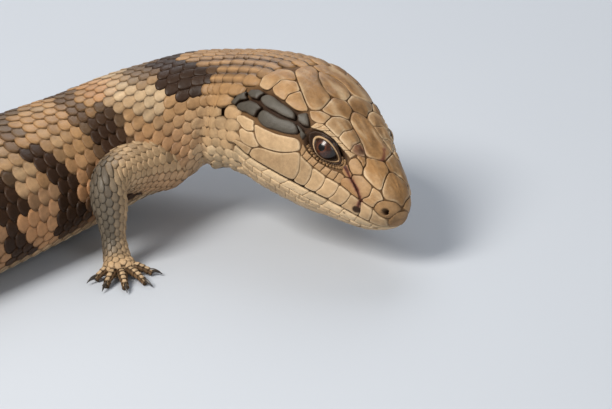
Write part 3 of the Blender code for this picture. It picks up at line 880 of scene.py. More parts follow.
# Head shields
#
# Each is an outline of places (distance, angle from the crown) on the animal's left side;
# the right side is its mirror image. The letter after the name is its kind.
TWIN_SHIELDS = (
    ("nasal", "n", ((1.0, 3), (2.3, 22), (4.1, 48), (4.9, 59), (5.1, 68), (5.1, 79),
                    (3.4, 90), (1.5, 97), (0.85, 75), (0.65, 35))),
    ("postnasal", "t", ((4.1, 48), (6.0, 41), (8.3, 45), (7.8, 52), (7.5, 62), (8.6, 73),
                        (8.7, 77), (5.3, 79), (5.1, 68), (4.9, 59))),
    ("prefrontal", "t", ((10, 0), (13, 0), (14.2, 13), (15.7, 26), (14.0, 31), (13.4, 39),
                         (12.4, 46), (8.3, 45), (6.0, 41), (7.6, 24), (9.2, 10))),
    ("loreal", "l", ((8.3, 45), (12.4, 46), (14.6, 55), (14.3, 60), (12.1, 65), (10.4, 71),
                     (9.3, 77), (8.7, 77), (8.6, 73), (7.5, 62), (7.8, 52))),
    ("canthal", "t", ((13.6, 38), (14.0, 31), (15.7, 26), (17.4, 33), (16.8, 36), (15.0, 36))),
    ("preocular", "l", ((12.4, 46), (13.6, 38), (15.0, 36), (16.8, 36), (17.6, 42),
                        (17.4, 48), (15.9, 53), (14.6, 55))),
    ("lower_preocular", "r", ((14.6, 55), (15.9, 53), (17.4, 49), (18.0, 55), (17.4, 61),
                              (15.8, 63), (14.3, 60))),
    ("presubocular", "r", ((10.4, 71), (12.1, 65), (14.3, 60), (15.8, 63), (16.6, 68),
                           (16.1, 75), (12.1, 77.5), (9.3, 77))),
    ("supraocular_front", "s", ((15.7, 26), (18, 20), (20.3, 17), (20.2, 28), (19.2, 37),
                                (17.4, 34))),
    ("supraocular_middle", "s", ((20.3, 17), (22.8, 15), (24.8, 14), (24.9, 27), (23.8, 37),
                                 (19.2, 37), (20.2, 28))),
    ("supraocular_back", "s", ((24.8, 14), (27.5, 12), (29.5, 18), (30.4, 26), (29.4, 37),
                               (23.8, 37), (24.9, 27))),
    ("supraocular_last", "t", ((30.4, 26), (33.5, 30), (35.4, 37.5), (33.0, 42), (30.9, 41),
                               (29.4, 37))),
    ("frontoparietal", "t", ((30.5, 0), (29.3, 6), (27.5, 12), (29.5, 18), (30.4, 26),
                             (33.5, 30), (34.8, 20), (36.5, 11), (34.3, 0))),
    ("parietal", "t", ((36.5, 11), (34.8, 20), (33.5, 30), (35.4, 37.5), (38.9, 33),
                       (42.4, 29), (46.3, 25), (51, 19), (52.3, 9), (51.8, 0), (48.5, 0),
                       (45, 7), (40, 12))),
    ("upper_temporal_front", "t", ((35.4, 37.5), (38.9, 33), (42.4, 29), (43.5, 38),
                                   (42.7, 44.5), (38.6, 44.5), (36.6, 42))),
    ("upper_temporal_middle", "t", ((42.4, 29), (46.3, 25), (49.5, 33), (49.2, 43),
                                    (46.8, 46), (42.7, 44.5), (43.5, 38))),
    ("upper_temporal_back", "t", ((46.3, 25), (51, 19), (54.8, 26), (55.2, 40), (53, 49),
                                  (49.4, 48), (49.2, 43), (49.5, 33))),
    ("temporal_1", "g", ((37.5, 45.5), (38.6, 45.5), (42.7, 45.5), (46.8, 47), (49.0, 49.5),
                         (49.8, 54), (49.0, 56.5), (46.3, 57.5), (42.7, 56), (38.7, 53.5),
                         (36.0, 50.5))),
    ("temporal_2", "g", ((35.8, 51.5), (38.7, 54.5), (42.2, 57), (46.0, 59), (47.0, 64),
                         (46.2, 69), (43.2, 71), (38.5, 67.5), (35.0, 63.5), (32.6, 58),
                         (33.7, 53.5))),
    ("temporal_3", "g", ((49.4, 49), (52, 49.5), (54.9, 53), (55.0, 57), (52.7, 60),
                         (49.8, 58), (49.8, 54))),
    ("temporal_4", "g", ((46.6, 59), (49.6, 58.5), (52.6, 60.5), (55.8, 66), (56, 70),
                         (53.6, 72.5), (49.8, 71.5), (47.0, 69.5), (47.3, 64))),
    ("temporal_5", "g", ((55.0, 54), (58.2, 59), (58.9, 67), (56.6, 69.5), (55.8, 65.5),
                         (52.9, 60.5), (55.1, 57))),
    ("postocular_upper", "g", ((33.0, 42.5), (35.4, 38.5), (36.6, 42.5), (37.2, 46),
                               (35.6, 51), (33.3, 51), (31.6, 47.5))),
    ("postocular_lower", "g", ((33.2, 51.5), (35.4, 52), (33.5, 55), (32.4, 59), (30.9, 61),
                               (30.8, 54))),
    ("lower_temporal_front", "c", ((46.0, 73), (43.4, 72), (38.3, 69), (34.8, 65),
                                   (32.2, 61), (30.8, 64), (29.9, 69), (32.5, 76.5),
                                   (35.6, 82), (38.8, 85), (41.0, 86.3), (43.3, 82.5),
                                   (44.8, 78))),
    ("lower_temporal_back", "c", ((46.4, 71.5), (50.3, 73.5), (53.4, 75.5), (53.0, 79.5),
                                  (49.7, 83), (47.5, 82.7), (44.8, 78.5), (46.2, 73.5))),
    ("cheek_plate", "c", ((50.3, 86.5), (49.7, 83.2), (47.5, 82.9), (44.9, 79), (43.5, 82.8),
                          (41.2, 86.6), (43.1, 91.7), (45.4, 93.7), (48.0, 94))),
)
MIDDLE_SHIELDS = (
    ("rostral", "n", ((0.6, 0), (0.7, 35), (0.9, 75), (1.45, 98), (1.3, 118), (1.15, 140),
                      (0.95, 180))),
    ("frontonasal", "t", ((1.0, 0), (2.3, 22), (4.1, 48), (6.0, 41), (7.6, 24), (9.2, 10),
                          (10, 0))),
    ("frontal", "t", ((13, 0), (14.2, 13), (15.7, 26), (18, 20), (20.3, 17), (22.8, 15),
                      (24.8, 14), (27.5, 12), (29.3, 6), (30.5, 0))),
    ("interparietal", "t", ((34.3, 0), (36.5, 11), (40, 12), (45, 7), (48.5, 0))),
    ("mental", "c", ((0.95, 180), (1.15, 152), (1.9, 143), (3.9, 139), (4.5, 160), (4.6, 180))),
    ("postmental", "c", ((4.6, 180), (4.0, 146), (8.0, 139), (9.6, 150), (10.5, 180))),
)
MOUTH = ((0.9, 170), (1.2, 140), (2.3, 132), (3.6, 122), (5.2, 115), (8, 108.5), (12, 105.5),
         (20, 103.5), (30, 102), (40, 101.5), (46, 101), (52, 99))
LIP_EDGE = ((0.9, 176), (1.2, 154), (2.3, 142), (3.6, 131), (5.2, 122.5), (8, 114.3),
            (12, 110.3), (20, 107.4), (30, 105.3), (40, 104.4), (46, 103.8), (52, 102))
LIP_TOP = ((1.45, 98), (3.4, 90), (5.2, 79.5), (8.8, 77.5), (12.1, 77.5), (16.1, 75.5),
           (20.3, 76.5), (24.5, 75.5), (28.8, 73), (29.9, 69.5), (32.5, 76.8), (35.6, 82.3),
           (38.8, 85.4), (41.1, 86.8), (43.1, 92), (48, 94.3), (51, 97))
LIP_UNDER = ((1.8, 142), (4, 138), (8, 130), (14, 124), (20, 120), (28, 116), (36, 113),
             (44, 110.5), (52, 108))
CHIN_HIGH = ((4, 146), (8, 139), (14, 132), (20, 128), (28, 123.5), (36, 120.5), (44, 118.5),
             (48.6, 118))
CHIN_MID = ((8, 146), (14, 140), (20, 136), (28, 131.5), (36, 129), (44, 127.5), (48.6, 127))
CHIN_EDGE = ((10, 150), (16, 147), (24, 143.5), (32, 141), (48.6, 139))
EYE_UNDER = ((15.8, 63), (17.6, 62.5), (20, 66), (24.5, 68), (28, 66), (30.4, 62), (31, 61))
BROW_TOP = ((17.4, 33.5), (19.2, 37), (29.4, 37), (31.3, 41))
BROW_UNDER = ((17.7, 42.5), (20, 41.5), (24.5, 40.5), (28, 42), (31.5, 47))
# rows of like shields: name, kind, upper edge, lower edge, cuts on the upper and lower edge
SHIELD_ROWS = (
    ("upper_lip", "p", LIP_TOP, MOUTH,
     ((1.5, 1.3), (5.2, 5.2), (8.7, 8.0), (12.1, 13.8), (16.1, 17.9), (20.3, 21.8),
      (24.7, 25.3), (29.4, 28.6), (43.3, 43.9), (50.8, 51.5))),
    ("lower_lip", "i", LIP_EDGE, LIP_UNDER,
     ((1.3, 1.9), (4.6, 5.4), (8.6, 9.6), (13, 14.4), (18, 19.6), (23.6, 25.6), (30.2, 32.4),
      (37, 39), (43.5, 45), (50, 50.5))),
    ("chin_high", "d", LIP_UNDER, CHIN_HIGH,
     tuple((a, a + 0.3) for a in np.arange(4.6, 49, 3.1))),
    ("chin_mid", "d", CHIN_HIGH, CHIN_MID,
     tuple((a, a + 0.3) for a in np.arange(8.6, 49, 3.2))),
    ("chin_low", "d", CHIN_MID, CHIN_EDGE,
     tuple((a, a + 0.3) for a in np.arange(11.2, 49, 3.4))),
    ("brow", "s", BROW_TOP, BROW_UNDER,
     ((17.5, 17.8), (19.6, 20.4), (22.0, 23.0), (24.4, 25.6), (26.8, 28.2), (29.0, 30.2),
      (31.2, 31.6))),
    ("subocular", "l", EYE_UNDER, LIP_TOP,
     ((16.0, 16.1), (18.0, 18.2), (20.0, 20.3), (22.0, 22.5), (24.2, 24.7), (26.4, 26.9),
      (28.6, 28.8), (30.4, 29.9))),
)
CHIN_CUTS = (10.5, 16, 21.5, 27, 32.5)
# kind of shield: pale, slate, rust and dark in its middle, half the gap round it, dark of its rim
KINDS = {
    "t": (0.05, 0, 0, 0, 0.08, 0.75),      # crown and temple's edge
    "s": (0.24, 0, 0, 0, 0.05, 0.35),      # above the eye
    "n": (0.12, 0, 0, 0.06, 0.07, 0.70),   # round the nostril
    "l": (0.25, 0, 0.03, 0, 0.08, 0.60),   # before and below the eye
    "r": (0.10, 0, 0.10, 0.05, 0.09, 0.70),
    "p": (0.50, 0, 0, 0, 0.06, 0.35),      # upper lip
    "i": (1.0, 0, 0, 0, 0.02, 0.04),       # lower lip
    "c": (0.60, 0, 0, 0, 0.06, 0.30),      # cheek and chin
    "d": (0.70, 0, 0, 0, 0.03, 0.05),      # lower jaw
    "g": (0, 0.97, 0, 0, 0.36, 0.0),       # grey temple
}
SHIELD_POINTS = 40
# share of the way from the middle to the edge of each ring, the first two on the underside
SHIELD_SHARES = (0.35, 1.0, 1.0, 0.985, 0.955, 0.90, 0.80, 0.66, 0.50, 0.37, 0.28, 0.20, 0.08)
UNDER_HEIGHT = -0.85                   # of the underside, over the solids' surface
TEMPLE_UNDER_HEIGHT = -1.6
NOSTRIL_UNDER_HEIGHT = -2.4            # below the nostril's pit
RIM_HEIGHTS = (-0.42, -0.24)           # of the two rings above the underside
# distance from the edge, height of the shield's top
SHIELD_TOP = ((0, -0.24), (0.18, -0.12), (0.5, -0.05), (1.2, 0.0), (3, 0.02))
KIND_RISE = {"p": 0.16, "i": -0.12}    # lips: the upper stands out over the lower
# places of the head's distances on the way over the snout's own surface, in millimetres
TIP_REACH = np.concatenate([[0], np.cumsum(np.hypot(
    np.diff(SPINE_S[:141]), np.diff(profile(SPINE_S[:141])[0])))])


def to_fan(s, degrees):
    """Places spread flat round the snout tip: reach along the surface, angle kept."""
    reach = np.interp(s, SPINE_S[:141], TIP_REACH)
    turn = np.radians(degrees)
    return np.stack([reach * np.cos(turn), reach * np.sin(turn)], -1)


def from_fan(flat):
    """Distance from the snout and angle of flat places, the inverse of to_fan."""
    reach = np.hypot(flat[..., 0], flat[..., 1])
    s = np.interp(reach, TIP_REACH, SPINE_S[:141])
    return s, np.degrees(np.arctan2(flat[..., 1], flat[..., 0]))


def row_outlines(upper, lower, cuts):
    """Outlines of a row of shields between two edges, cut at the given places.

    Corners of an edge closer than 0.3 mm to a cut are left out.
    """
    outlines = []
    for (a0, b0), (a1, b1) in zip(cuts[:-1], cuts[1:]):
        over = [a0] + [p[0] for p in upper if a0 + 0.3 < p[0] < a1 - 0.3] + [a1]
        under = [b0] + [p[0] for p in lower if b0 + 0.3 < p[0] < b1 - 0.3] + [b1]
        outline = [(s, table(upper, s)) for s in over]
        outline += [(s, table(lower, s)) for s in under[::-1]]
        outlines.append(tuple(outline))
    return outlines


def all_shields():
    """Name, kind and outline of every head shield on both sides."""
    found = []
    for name, kind, outline in MIDDLE_SHIELDS:
        inner = [p for p in outline[::-1] if p[1] not in (0, 180)]
        found.append((name, kind, list(outline) + [(s, -a) for s, a in inner]))
    twins = list(TWIN_SHIELDS)
    for name, kind, upper, lower, cuts in SHIELD_ROWS:
        for k, outline in enumerate(row_outlines(upper, lower, cuts)):
            twins.append((f"{name}_{k + 1}", kind, outline))
    for k, (a, b) in enumerate(zip(CHIN_CUTS[:-1], CHIN_CUTS[1:])):
        low, high = table(CHIN_EDGE, a - 1), table(CHIN_EDGE, b - 1)
        edge = [(a, 180), (a - 1.4, 165), (a - 1, low), (b - 1, high), (b - 1.4, 165), (b, 180)]
        twins.append((f"chin_{k + 1}", "c", tuple(edge)))
    for name, kind, outline in twins:
        for side in SIDES.values():
            found.append((f"{name}_{side}", kind, [(s, side * a) for s, a in outline]))
    return found


def rounded(corners, count, reach):
    """Closed outline resampled to 'count' even points and averaged over 'reach' neighbours."""
    closed = np.vstack([corners, corners[:1]])
    run = np.concatenate([[0], np.cumsum(np.linalg.norm(np.diff(closed, axis=0), axis=1))])
    at = np.linspace(0, run[-1], count, endpoint=False)
    line = np.stack([np.interp(at, run, closed[:, k]) for k in range(2)], 1)
    return sum(np.roll(line, k, 0) for k in range(-reach, reach + 1)) / (2 * reach + 1)


NOSTRIL = (2.35, 71)
# distance and angle along the dark line before the right eye, down to the lip
TEAR_LINE = ((19.0, -50), (17.5, -53), (15.9, -56.5), (14.6, -60), (12.6, -64), (10.8, -67),
             (9.4, -72), (8.7, -80), (8.6, -92))
BRIDGE_LINE = ((17.6, 13), (16.2, 9), (15.0, 7), (13.6, 0), (13.3, -6))


# darkness, distance, angle, reach along and round, softness of the dark spots on the right side
HEAD_SPOTS = ((0.5, 17.4, -27, 0.9, 3.5, 0.5), (1.0, 8.8, -96, 1.2, 7.0, 0.2),
              (0.25, 4.0, -102, 2.6, 9, 0.6), (0.7, 12.4, -115, 0.4, 1.8, 0.4))


def head_noise(s, degrees, along, round_, seed, shift=0):
    """Noise on the head, its grain 'along' millimetres long and 'round_' degrees wide."""
    return value_noise(np.stack([s / along, degrees / round_, 0 * s + shift], -1), 1.0, seed)


def from_line(s, degrees, line):
    """Distance in millimetres of places from a line on the head, piece by piece."""
    scale = np.radians(1.0) * (profile(s)[0] + 0.5)
    best = np.full(np.shape(s), 99.0)
    for (s0, a0), (s1, a1) in zip(line[:-1], line[1:]):
        x, y = s - s0, (degrees - a0) * scale
        dx, dy = s1 - s0, (a1 - a0) * scale
        t = np.clip((x * dx + y * dy) / (dx * dx + dy * dy), 0, 1)
        best = np.minimum(best, np.hypot(x - t * dx, y - t * dy))
    return best


def head_marks(s, degrees):
    """Markings that cross the shields: stains, the dark lip spot and painted shade at the snout's
    tip.
    """
    rough = head_noise(s, degrees, 0.9, 3.6, 21) - 0.5
    off = from_line(s, degrees, TEAR_LINE) - 0.35 - 0.5 * rough
    rust = np.maximum(0.95 * ease(0.35, -0.1, off), 0.35 * ease(1.2, 0, off))
    bridge = from_line(s, degrees, BRIDGE_LINE) - 0.25 - 0.5 * rough
    rust = np.maximum(rust, 0.8 * ease(0.35, -0.1, bridge))
    stain = spot(s, degrees, 18.2, -27, 2.0, 6.5, 0.5)
    rust = np.maximum(rust, stain * (0.75 + 0.8 * rough))
    # The line before the eye is a real dark mark; the weaker spot at the snout's tip is painted
    # shade.
    dark = np.maximum(0.75 * ease(0.1, -0.3, off),
                      0.35 * spot(s, np.abs(degrees), 1.0, 100, 1.2, 45, 0.5))
    for share, *place in HEAD_SPOTS:
        dark = np.maximum(dark, share * spot(s, degrees, *place))
    return np.clip(rust, 0, 1), dark


def shield_lift(name, kind, number, s, degrees, share, reach):
    """Heights of a shield's rings: a bevelled rim, then a gently uneven and crowned top.

    The nasal shield has the nostril's pit in its middle, with a low ring round it.
    """
    lift = table(SHIELD_TOP, (1 - share) * reach)
    lift[:2] = TEMPLE_UNDER_HEIGHT if kind == "g" else UNDER_HEIGHT
    lift[2:4] = np.array(RIM_HEIGHTS)[:, None]
    rise = np.clip(0.05 * chance(number, 3) * (s - s.mean()) / 4, -0.06, 0.06)
    rise = rise + KIND_RISE.get(kind, 0)
    if kind in "pclg":
        rise = rise + 0.14 * (head_noise(s, degrees, 1.6, 5.0, 9, 5 * number) - 0.5)
    if kind in "tsn":
        rise = rise + 0.34 * (head_noise(s, degrees, 3.2, 4.0, 8, 9 * number) - 0.5)
        rise = rise + 0.12 * (0.45 - share**2)
    if kind == "g":
        rise = rise + 0.10 - 0.10 * share**2
    if name.startswith("nasal"):
        off = share * reach
        lift[0] = NOSTRIL_UNDER_HEIGHT
        rise = rise - 1.7 * ease(1.1, 0.6, off) + 0.14 * np.exp(-((off - 1.35) / 0.25) ** 2)
    return lift + rise * (np.arange(len(share)) > 1)[:, None]


def shield_marks(name, kind, number, s, degrees, share, reach):
    """Marks of a shield: its kind's colours, its dark edge with a painted highlight just inside
    it, painted shade in the nostril's pit, the head's own marks with the painted shade at the
    snout's tip, and the crown's mottling.
    """
    pale, slate, rust, dark, _, rim = KINDS[kind]
    from_edge = (1 - share) * reach
    # 'blot' holds the head's dark marks together with the painted shade at the snout's tip.
    stain, blot = head_marks(s, degrees)
    found = marks(s.shape, pale=pale, slate=slate, rust=rust, dark=dark,
                  tone=2 * chance(number, 7) - 1, rim=rim * np.exp(-(from_edge / 0.13) ** 2))
    raised(found, "rust", stain)
    raised(found, "dark", blot)
    # Painted shade: the nasal shield is darkened round and in the nostril's pit.
    if name.startswith("nasal"):
        raised(found, "dark", ease(1.2, 0.85, share * reach))
    if kind == "g":
        raised(found, "dark", 0.75 * np.exp(-(from_edge / 0.45) ** 2))
    # Painted highlight: a pale band just inside the edge of lip, cheek and chin shields, on their
    # bevel.
    if kind in "picd":
        found["pale"] += 0.35 * np.exp(-((from_edge - 0.35) / 0.25) ** 2)
    if kind in "ts":
        streak = head_noise(s, degrees, 2.2, 3.0, 12)
        wide = head_noise(s, degrees, 6.0, 9.0, 13)
        fleck = head_noise(s, degrees, 4.5, 5.0, 14)
        fine = head_noise(s, degrees, 1.8, 2.6, 15)
        away = np.abs(degrees)
        # Painted highlight: a pale line just inside each crown and brow shield's edge, where its
        # raised bevel catches the light.
        light = np.exp(-((from_edge - 0.30) / 0.16) ** 2)
        mottled = ease(40, 20, away) * ease(8, 20, s)
        found["pale"] += light * (0.25 + 0.6 * ease(0.35, 0.65, wide)) + 0.22 * ease(22, 44, away)
        found["pale"] += 0.45 * (streak - 0.5) + 0.35 * (wide - 0.5)
        found["pale"] += 0.5 * mottled * ease(0.55, 0.85, 1 - fleck)
        found["dark"] += 0.42 * mottled * ease(0.45, 0.8, 0.6 * fleck + 0.4 * fine)
    for key in ("pale", "dark"):
        found[key] = np.clip(found[key], 0, 1)
    return found


def shield_plates(kinds):
    """Points, marks and map places of the head shields of the given kinds.

    A shield's rings shrink from its rounded outline towards its middle; the outline is drawn
    in by half the gap to the next shield.
    """
    points, maps, looks = [], [], []
    for number, (name, kind, outline) in enumerate(all_shields()):
        if kind not in kinds:
            continue
        line = rounded(to_fan(*np.array(outline, float).T), SHIELD_POINTS, 1)
        middle = line.mean(0)
        if name.startswith("nasal"):
            middle = to_fan(NOSTRIL[0], math.copysign(NOSTRIL[1], outline[2][1]))
        reach = np.linalg.norm(surface(*from_fan(line)) - surface(*from_fan(middle)), axis=-1)
        share = np.array(SHIELD_SHARES)[:, None] + 0 * reach
        inset = 1 - np.clip(KINDS[kind][4] / np.maximum(reach, 0.3), 0, 0.5)
        place = middle + (line - middle) * (share * inset)[..., None]
        s, degrees = from_fan(place)
        given = (name, kind, number, s, degrees, share, reach)
        points.append(surface(settled(s, degrees), degrees, shield_lift(*given)))
        maps.append(0.5 + place / (2.1 * TIP_REACH[-1]))
        looks.append(shield_marks(*given))
    return np.array(points), {k: np.array([x[k] for x in looks]) for k in MARKS}, np.array(maps)


# Body scales
# angle from the crown, distance where the body's scales take over from the head shields
SCALES_FROM = ((0, 53.2), (9, 53.4), (19, 52.6), (27, 55.6), (41, 55.8), (50, 55.2), (55, 57),
               (60, 60.2), (68, 60.2), (72, 57.5), (76, 54.8), (82, 52.6), (87, 51.8),
               (95, 50.5), (101, 52.8), (109, 52.2), (112, 49), (139, 48.6), (142, 33),
               (180, 32.4))
# distance from the snout, scales round the body
SCALE_ROWS = ((28, 36), (292, 32), (318, 28), (345, 24), (375, 22), (405, 18), (435, 14),
              (458, 10), (474, 8))
# distance from the snout, spacing of the scales along a row
SCALE_PITCH = ((28, 3.5), (60, 3.5), (90, 3.7), (140, 4.2), (250, 4.3), (310, 4.0),
               (400, 4.2), (491, 3.6))
# share of the length from the covered front end to the free rear one, half width, height
SCALE_SHAPE = ((0.0, 0.50, -0.62), (0.30, 0.82, -0.47), (0.58, 1.0, -0.27),
               (0.80, 0.90, -0.10), (0.93, 0.62, -0.06), (1.0, 0.30, -0.16))
# round a scale: across it, and 1 on top or -1 beneath; the top comes last, so a bake keeps it
SCALE_ACROSS = (1.0, 0.55, 0.0, -0.55, -1.0, -0.55, 0.0, 0.55)
SCALE_UPPER = (0, -1, -1, -1, 0, 1, 1, 1)
PATCH = 0.003          # side of a scale's patch on the map
SCALE_LENGTH = 1.62    # in spacings along its row
SCALE_HALF = 0.70      # half width, in spacings of the rows
LONG_STRETCH = 80      # stretches longer than this space each ring by its own place
TAIL_THIN = ((0, 1), (430, 1), (491, 0.45))    # thickness of the scales along the body
LEG_ROWS = {"fore": (16, 2.5), "hind": (18, 2.8)}    # rows round a leg, spacing along them
TOE_PITCH = 1.45


def scale_offsets():
    """Along, across, height, rim and distance from the middle line of one scale's rings."""
    along, wide, height = (np.array(SCALE_SHAPE)[:, k][:, None] for k in range(3))
    across, upper = np.array(SCALE_ACROSS)[None], np.array(SCALE_UPPER)[None]
    v = across * wide
    top = height + 0.10 * (1 - across**2) - 0.07 * (np.abs(across) > 0.99)
    under = np.minimum(height - 0.22, -0.5) - 0.05
    lift = np.where(upper >= 0, top, under)
    rim = np.maximum(ease(0.72, 1.0, np.abs(across) + 0 * along), ease(0.90, 1.0, along + 0 * v))
    rim = np.where(upper >= 0, rim, 1.0)
    return along + 0 * v, v, lift, rim, np.abs(across) + 0 * along


def scale_sites():
    """Middle distance, angle, half width in degrees and length of every body scale.

    Ring after ring, half a pitch apart; each ring holds every second row, and the next
    ring the rows between, so that the scales lie like roof tiles.
    """
    edges = [row[0] for row in SCALE_ROWS] + [BODY_LENGTH - 3]
    sites = []
    for (start, rows), stop in zip(SCALE_ROWS, edges[1:]):
        pitch = table(SCALE_PITCH, (start + stop) / 2)
        if stop - start > LONG_STRETCH:
            s, rings = start, []
            while s < stop - 0.5:
                rings.append(s)
                s += table(SCALE_PITCH, s) / 2
        else:
            count = max(2, round(2 * (stop - start) / pitch))
            rings = list(np.linspace(start, stop, count + 1))[:-1]
        for k, s in enumerate(rings):
            column = np.arange(k % 2, rows, 2)
            degrees = (column + 0.5) * 360 / rows - 180
            half = 360 / rows * SCALE_HALF
            length = SCALE_LENGTH * table(SCALE_PITCH, s)
            sites.append(np.stack([s + 0 * degrees, degrees, half + 0 * degrees,
                                   length + 0 * degrees], 1))
    return np.concatenate(sites)


EAR = (60.6, 74.5, 2.2, 7.5)     # straight distance, angle, reach along and round
ROWS_MEET = 104.0                # distance behind which the body's rows are even
ROWS_OVERLAP = 2.5               # of the two families of rows, past the crease on each side
PAST_HEAD = 99                   # added to a straight distance, it is past every edge


def from_ear(straight, away):
    """Distance of places from the ear's middle, in shares of its reach."""
    return np.hypot((straight - EAR[0]) / EAR[2], (away - EAR[1]) / EAR[3])


def neck_rows(sites):
    """Sites of the body scales with the neck's rows laid out again at their true spacing.

    Rows run evenly back from the head and evenly forward from the shoulder, by length on
    the surface, and meet in the crease behind the jaw, where the inner side of the bend
    has fewer of them.
    """
    plain = sites[sites[:, 0] >= ROWS_MEET]
    s, degrees, half, length = sites[sites[:, 0] < ROWS_MEET].T
    crease = table(CREASE, degrees)
    front = settled(s, degrees)
    stretch = (settled(s + 2, degrees) - settled(s - 2, degrees)) / 4
    near = front < crease + ROWS_OVERLAP
    head = np.stack([front, degrees, half, length * np.clip(stretch, 0.7, 2.2), s], 1)[near]
    along = crease[:, None] + (ROWS_MEET - crease)[:, None] * np.linspace(0, 1, 24)
    line = surface(along, degrees[:, None])
    run = np.linalg.norm(np.diff(line, axis=1), axis=-1).sum(1) / (ROWS_MEET - crease)
    back = ROWS_MEET - (ROWS_MEET - s) / run
    far = back > crease - ROWS_OVERLAP
    neck = np.stack([back, degrees, half, length / run, 0 * s + PAST_HEAD], 1)[far]
    return np.concatenate([head, neck, np.column_stack([plain, 0 * plain[:, 0] + PAST_HEAD])])


def plate_values(shape, given, tone, rim):
    """Marks of many scales: those given for each scale, its tone, and its rim's darkness."""
    values = marks(shape)
    for key, array in {**given, "tone": tone}.items():
        values[key][:] = array[:, None, None]
    values["rim"][:] = rim
    return values


def plate_map(roots, along, across):
    """Map places of scales: a square patch round each root's place on the unwrap."""
    return roots[:, None, None] + PATCH * np.stack([across / 2 + 0 * along, along - 0.5], -1)


def body_plates():
    """Points, marks and map places of the body scales.

    Each scale is slanted a little by chance, and on neck and nape the sides of some rows are
    dark, which draws thin lines along the body.
    """
    s0, a0, half, length, straight = neck_rows(scale_sites()).T
    number = np.arange(len(s0))
    keep = straight > table(SCALES_FROM, np.abs(a0)) - 0.4
    keep &= from_ear(straight, np.abs(a0)) > 0.95
    keep &= leg_gap(surface(s0, a0)) > -1.2
    s0, a0, half, length, number = (x[keep] for x in (s0, a0, half, length, number))
    along, across, lift, rim, side = (x[None] for x in scale_offsets())
    slant = 0.04 * (chance(number, 1) - 0.5)[:, None, None]
    s = s0[:, None, None] + (along - 0.55 + across * slant) * length[:, None, None]
    degrees = a0[:, None, None] + across * half[:, None, None]
    thin = table(TAIL_THIN, s0)[:, None, None]
    lift = (lift + 0.04 * (chance(number, 2) - 0.5)[:, None, None]) * thin
    points = hide(np.clip(s, 1, BODY_LENGTH - 0.6), degrees, lift)
    ragged, drift = clouds(points[:, 3, 2])
    tone = 2 * chance(number, 4) - 1
    values = plate_values(points.shape[:3], body_marks(s0, a0, ragged, drift), tone, 0.30 * rim)
    lined = spot(s0, np.abs(a0), 72, 20, 20, 36, 0.2) * (chance(np.round(a0 / 10), 5) > 0.3)
    lined = np.maximum(lined, 0.5 * ease(0.3, 0.8, ragged) * (s0 > 90))
    raised(values, "dark", 0.95 * lined[:, None, None] * ease(0.25, 0.75, side))
    return points, values, plate_map(body_map(s0, a0), along, across)


def leg_plates(number, name):
    """Points, marks and map places of one leg's and foot's scales."""
    stem = LEG_STEMS[name]
    rows, pitch = LEG_ROWS[name.split("_")[0]]
    rings = int(stem.length / pitch * 2)
    k, column = np.meshgrid(np.arange(rings), np.arange(rows // 2), indexing="ij")
    t0 = (k.ravel() + 0.8) / rings
    a0 = (2 * column.ravel() + k.ravel() % 2 + 0.5) * 360 / rows - 180
    centre = stem.point(t0, a0)
    keep = (body_gap(centre)[0] > -1.0) & (t0 < 0.985)
    t0, a0, centre = t0[keep], a0[keep], centre[keep]
    along, across, lift, rim, _ = (x[None] for x in scale_offsets())
    t = t0[:, None, None] + (along - 0.55) * SCALE_LENGTH * pitch / stem.length
    degrees = a0[:, None, None] + across * 360 / rows * SCALE_HALF
    small = np.clip(stem.read(stem.wide, t0) / 6, 0.45, 0.75)[:, None, None]
    points = limb(stem, np.clip(t, 0, 1), degrees, lift * small + 0.03)
    ragged = 0.6 * value_noise(centre, 4.5, 6) + 0.4 * value_noise(centre, 2.0, 7)
    tone = 2 * chance(np.arange(len(t0)) + 1000 * (number + 1), 4) - 1
    values = plate_values(points.shape[:3], leg_marks(name, t0, a0, ragged), tone, 0.25 * rim)
    return points, values, plate_map(leg_map(number, t0, a0), along, across)


def toe_plates(number, name):
    """Points, marks and map places of the toes' scutes: above, below and on each side."""
    found = []
    along, across, lift, rim, side = (x[None] for x in scale_offsets())
    band = ease(0.9, 0.35, np.abs(2 * along - 1.1)) * ease(1.0, 0.5, side)
    for toe, stem in enumerate(toe_stems(name)):
        rings = max(4, int(stem.length / TOE_PITCH))
        k, column = (x.ravel() for x in np.meshgrid(np.arange(rings), np.arange(4), indexing="ij"))
        t0 = (k + 0.6) / rings
        a0 = column * 90.0
        half = np.where(column % 2 == 0, 58.0, 42.0)[:, None, None]
        t = np.clip(t0[:, None, None] + (along - 0.5) * 1.35 / rings, 0, 1)
        points = stem.point(t, a0[:, None, None] + across * half, lift * 0.42 + 0.02)
        above = (column == 0)[:, None, None]
        tone = 2 * chance(k + 50 * toe + 300 * number, 9) - 1
        values = plate_values(points.shape[:3], {}, tone, 0.5 * rim)
        values["pale"][:] = np.where(above, 0.75, 0.25)
        values["dark"][:] = np.where(above, 0.85 - 0.8 * band, 0.72) * ease(-0.3, 0.25, t)
        found.append((points, values, plate_map(toe_map(number, toe, t0, a0), along, across)))
    points, values, maps = zip(*found)
    return (np.concatenate(points), {k: np.concatenate([v[k] for v in values]) for k in MARKS},
            np.concatenate(maps))


# Eyes and lids
EYE_OPEN = (4.0, 2.25)             # half length and half height of the eye's opening
EYE_RING = (5.9, 3.2)              # half length and half height of the black ring round it
EYE_OPEN_SHIFT = (0.3, -0.45)      # the opening's middle from the eye's place: ahead, down
EYE_TILT = 4.0                     # degrees that the opening's front end is lower
PUPIL_SHIFT = (-0.7, -0.4)         # the pupil from the eye's place: ahead, down
RING_SHIFT = (0.1, -0.1)
LID_ROUND = 72                     # points round an eyelid
# rows of beads round the ring: growth over the ring, beads in the whole round, radius
BEAD_ROWS = ((1.02, 44, 0.34), (1.15, 40, 0.44))
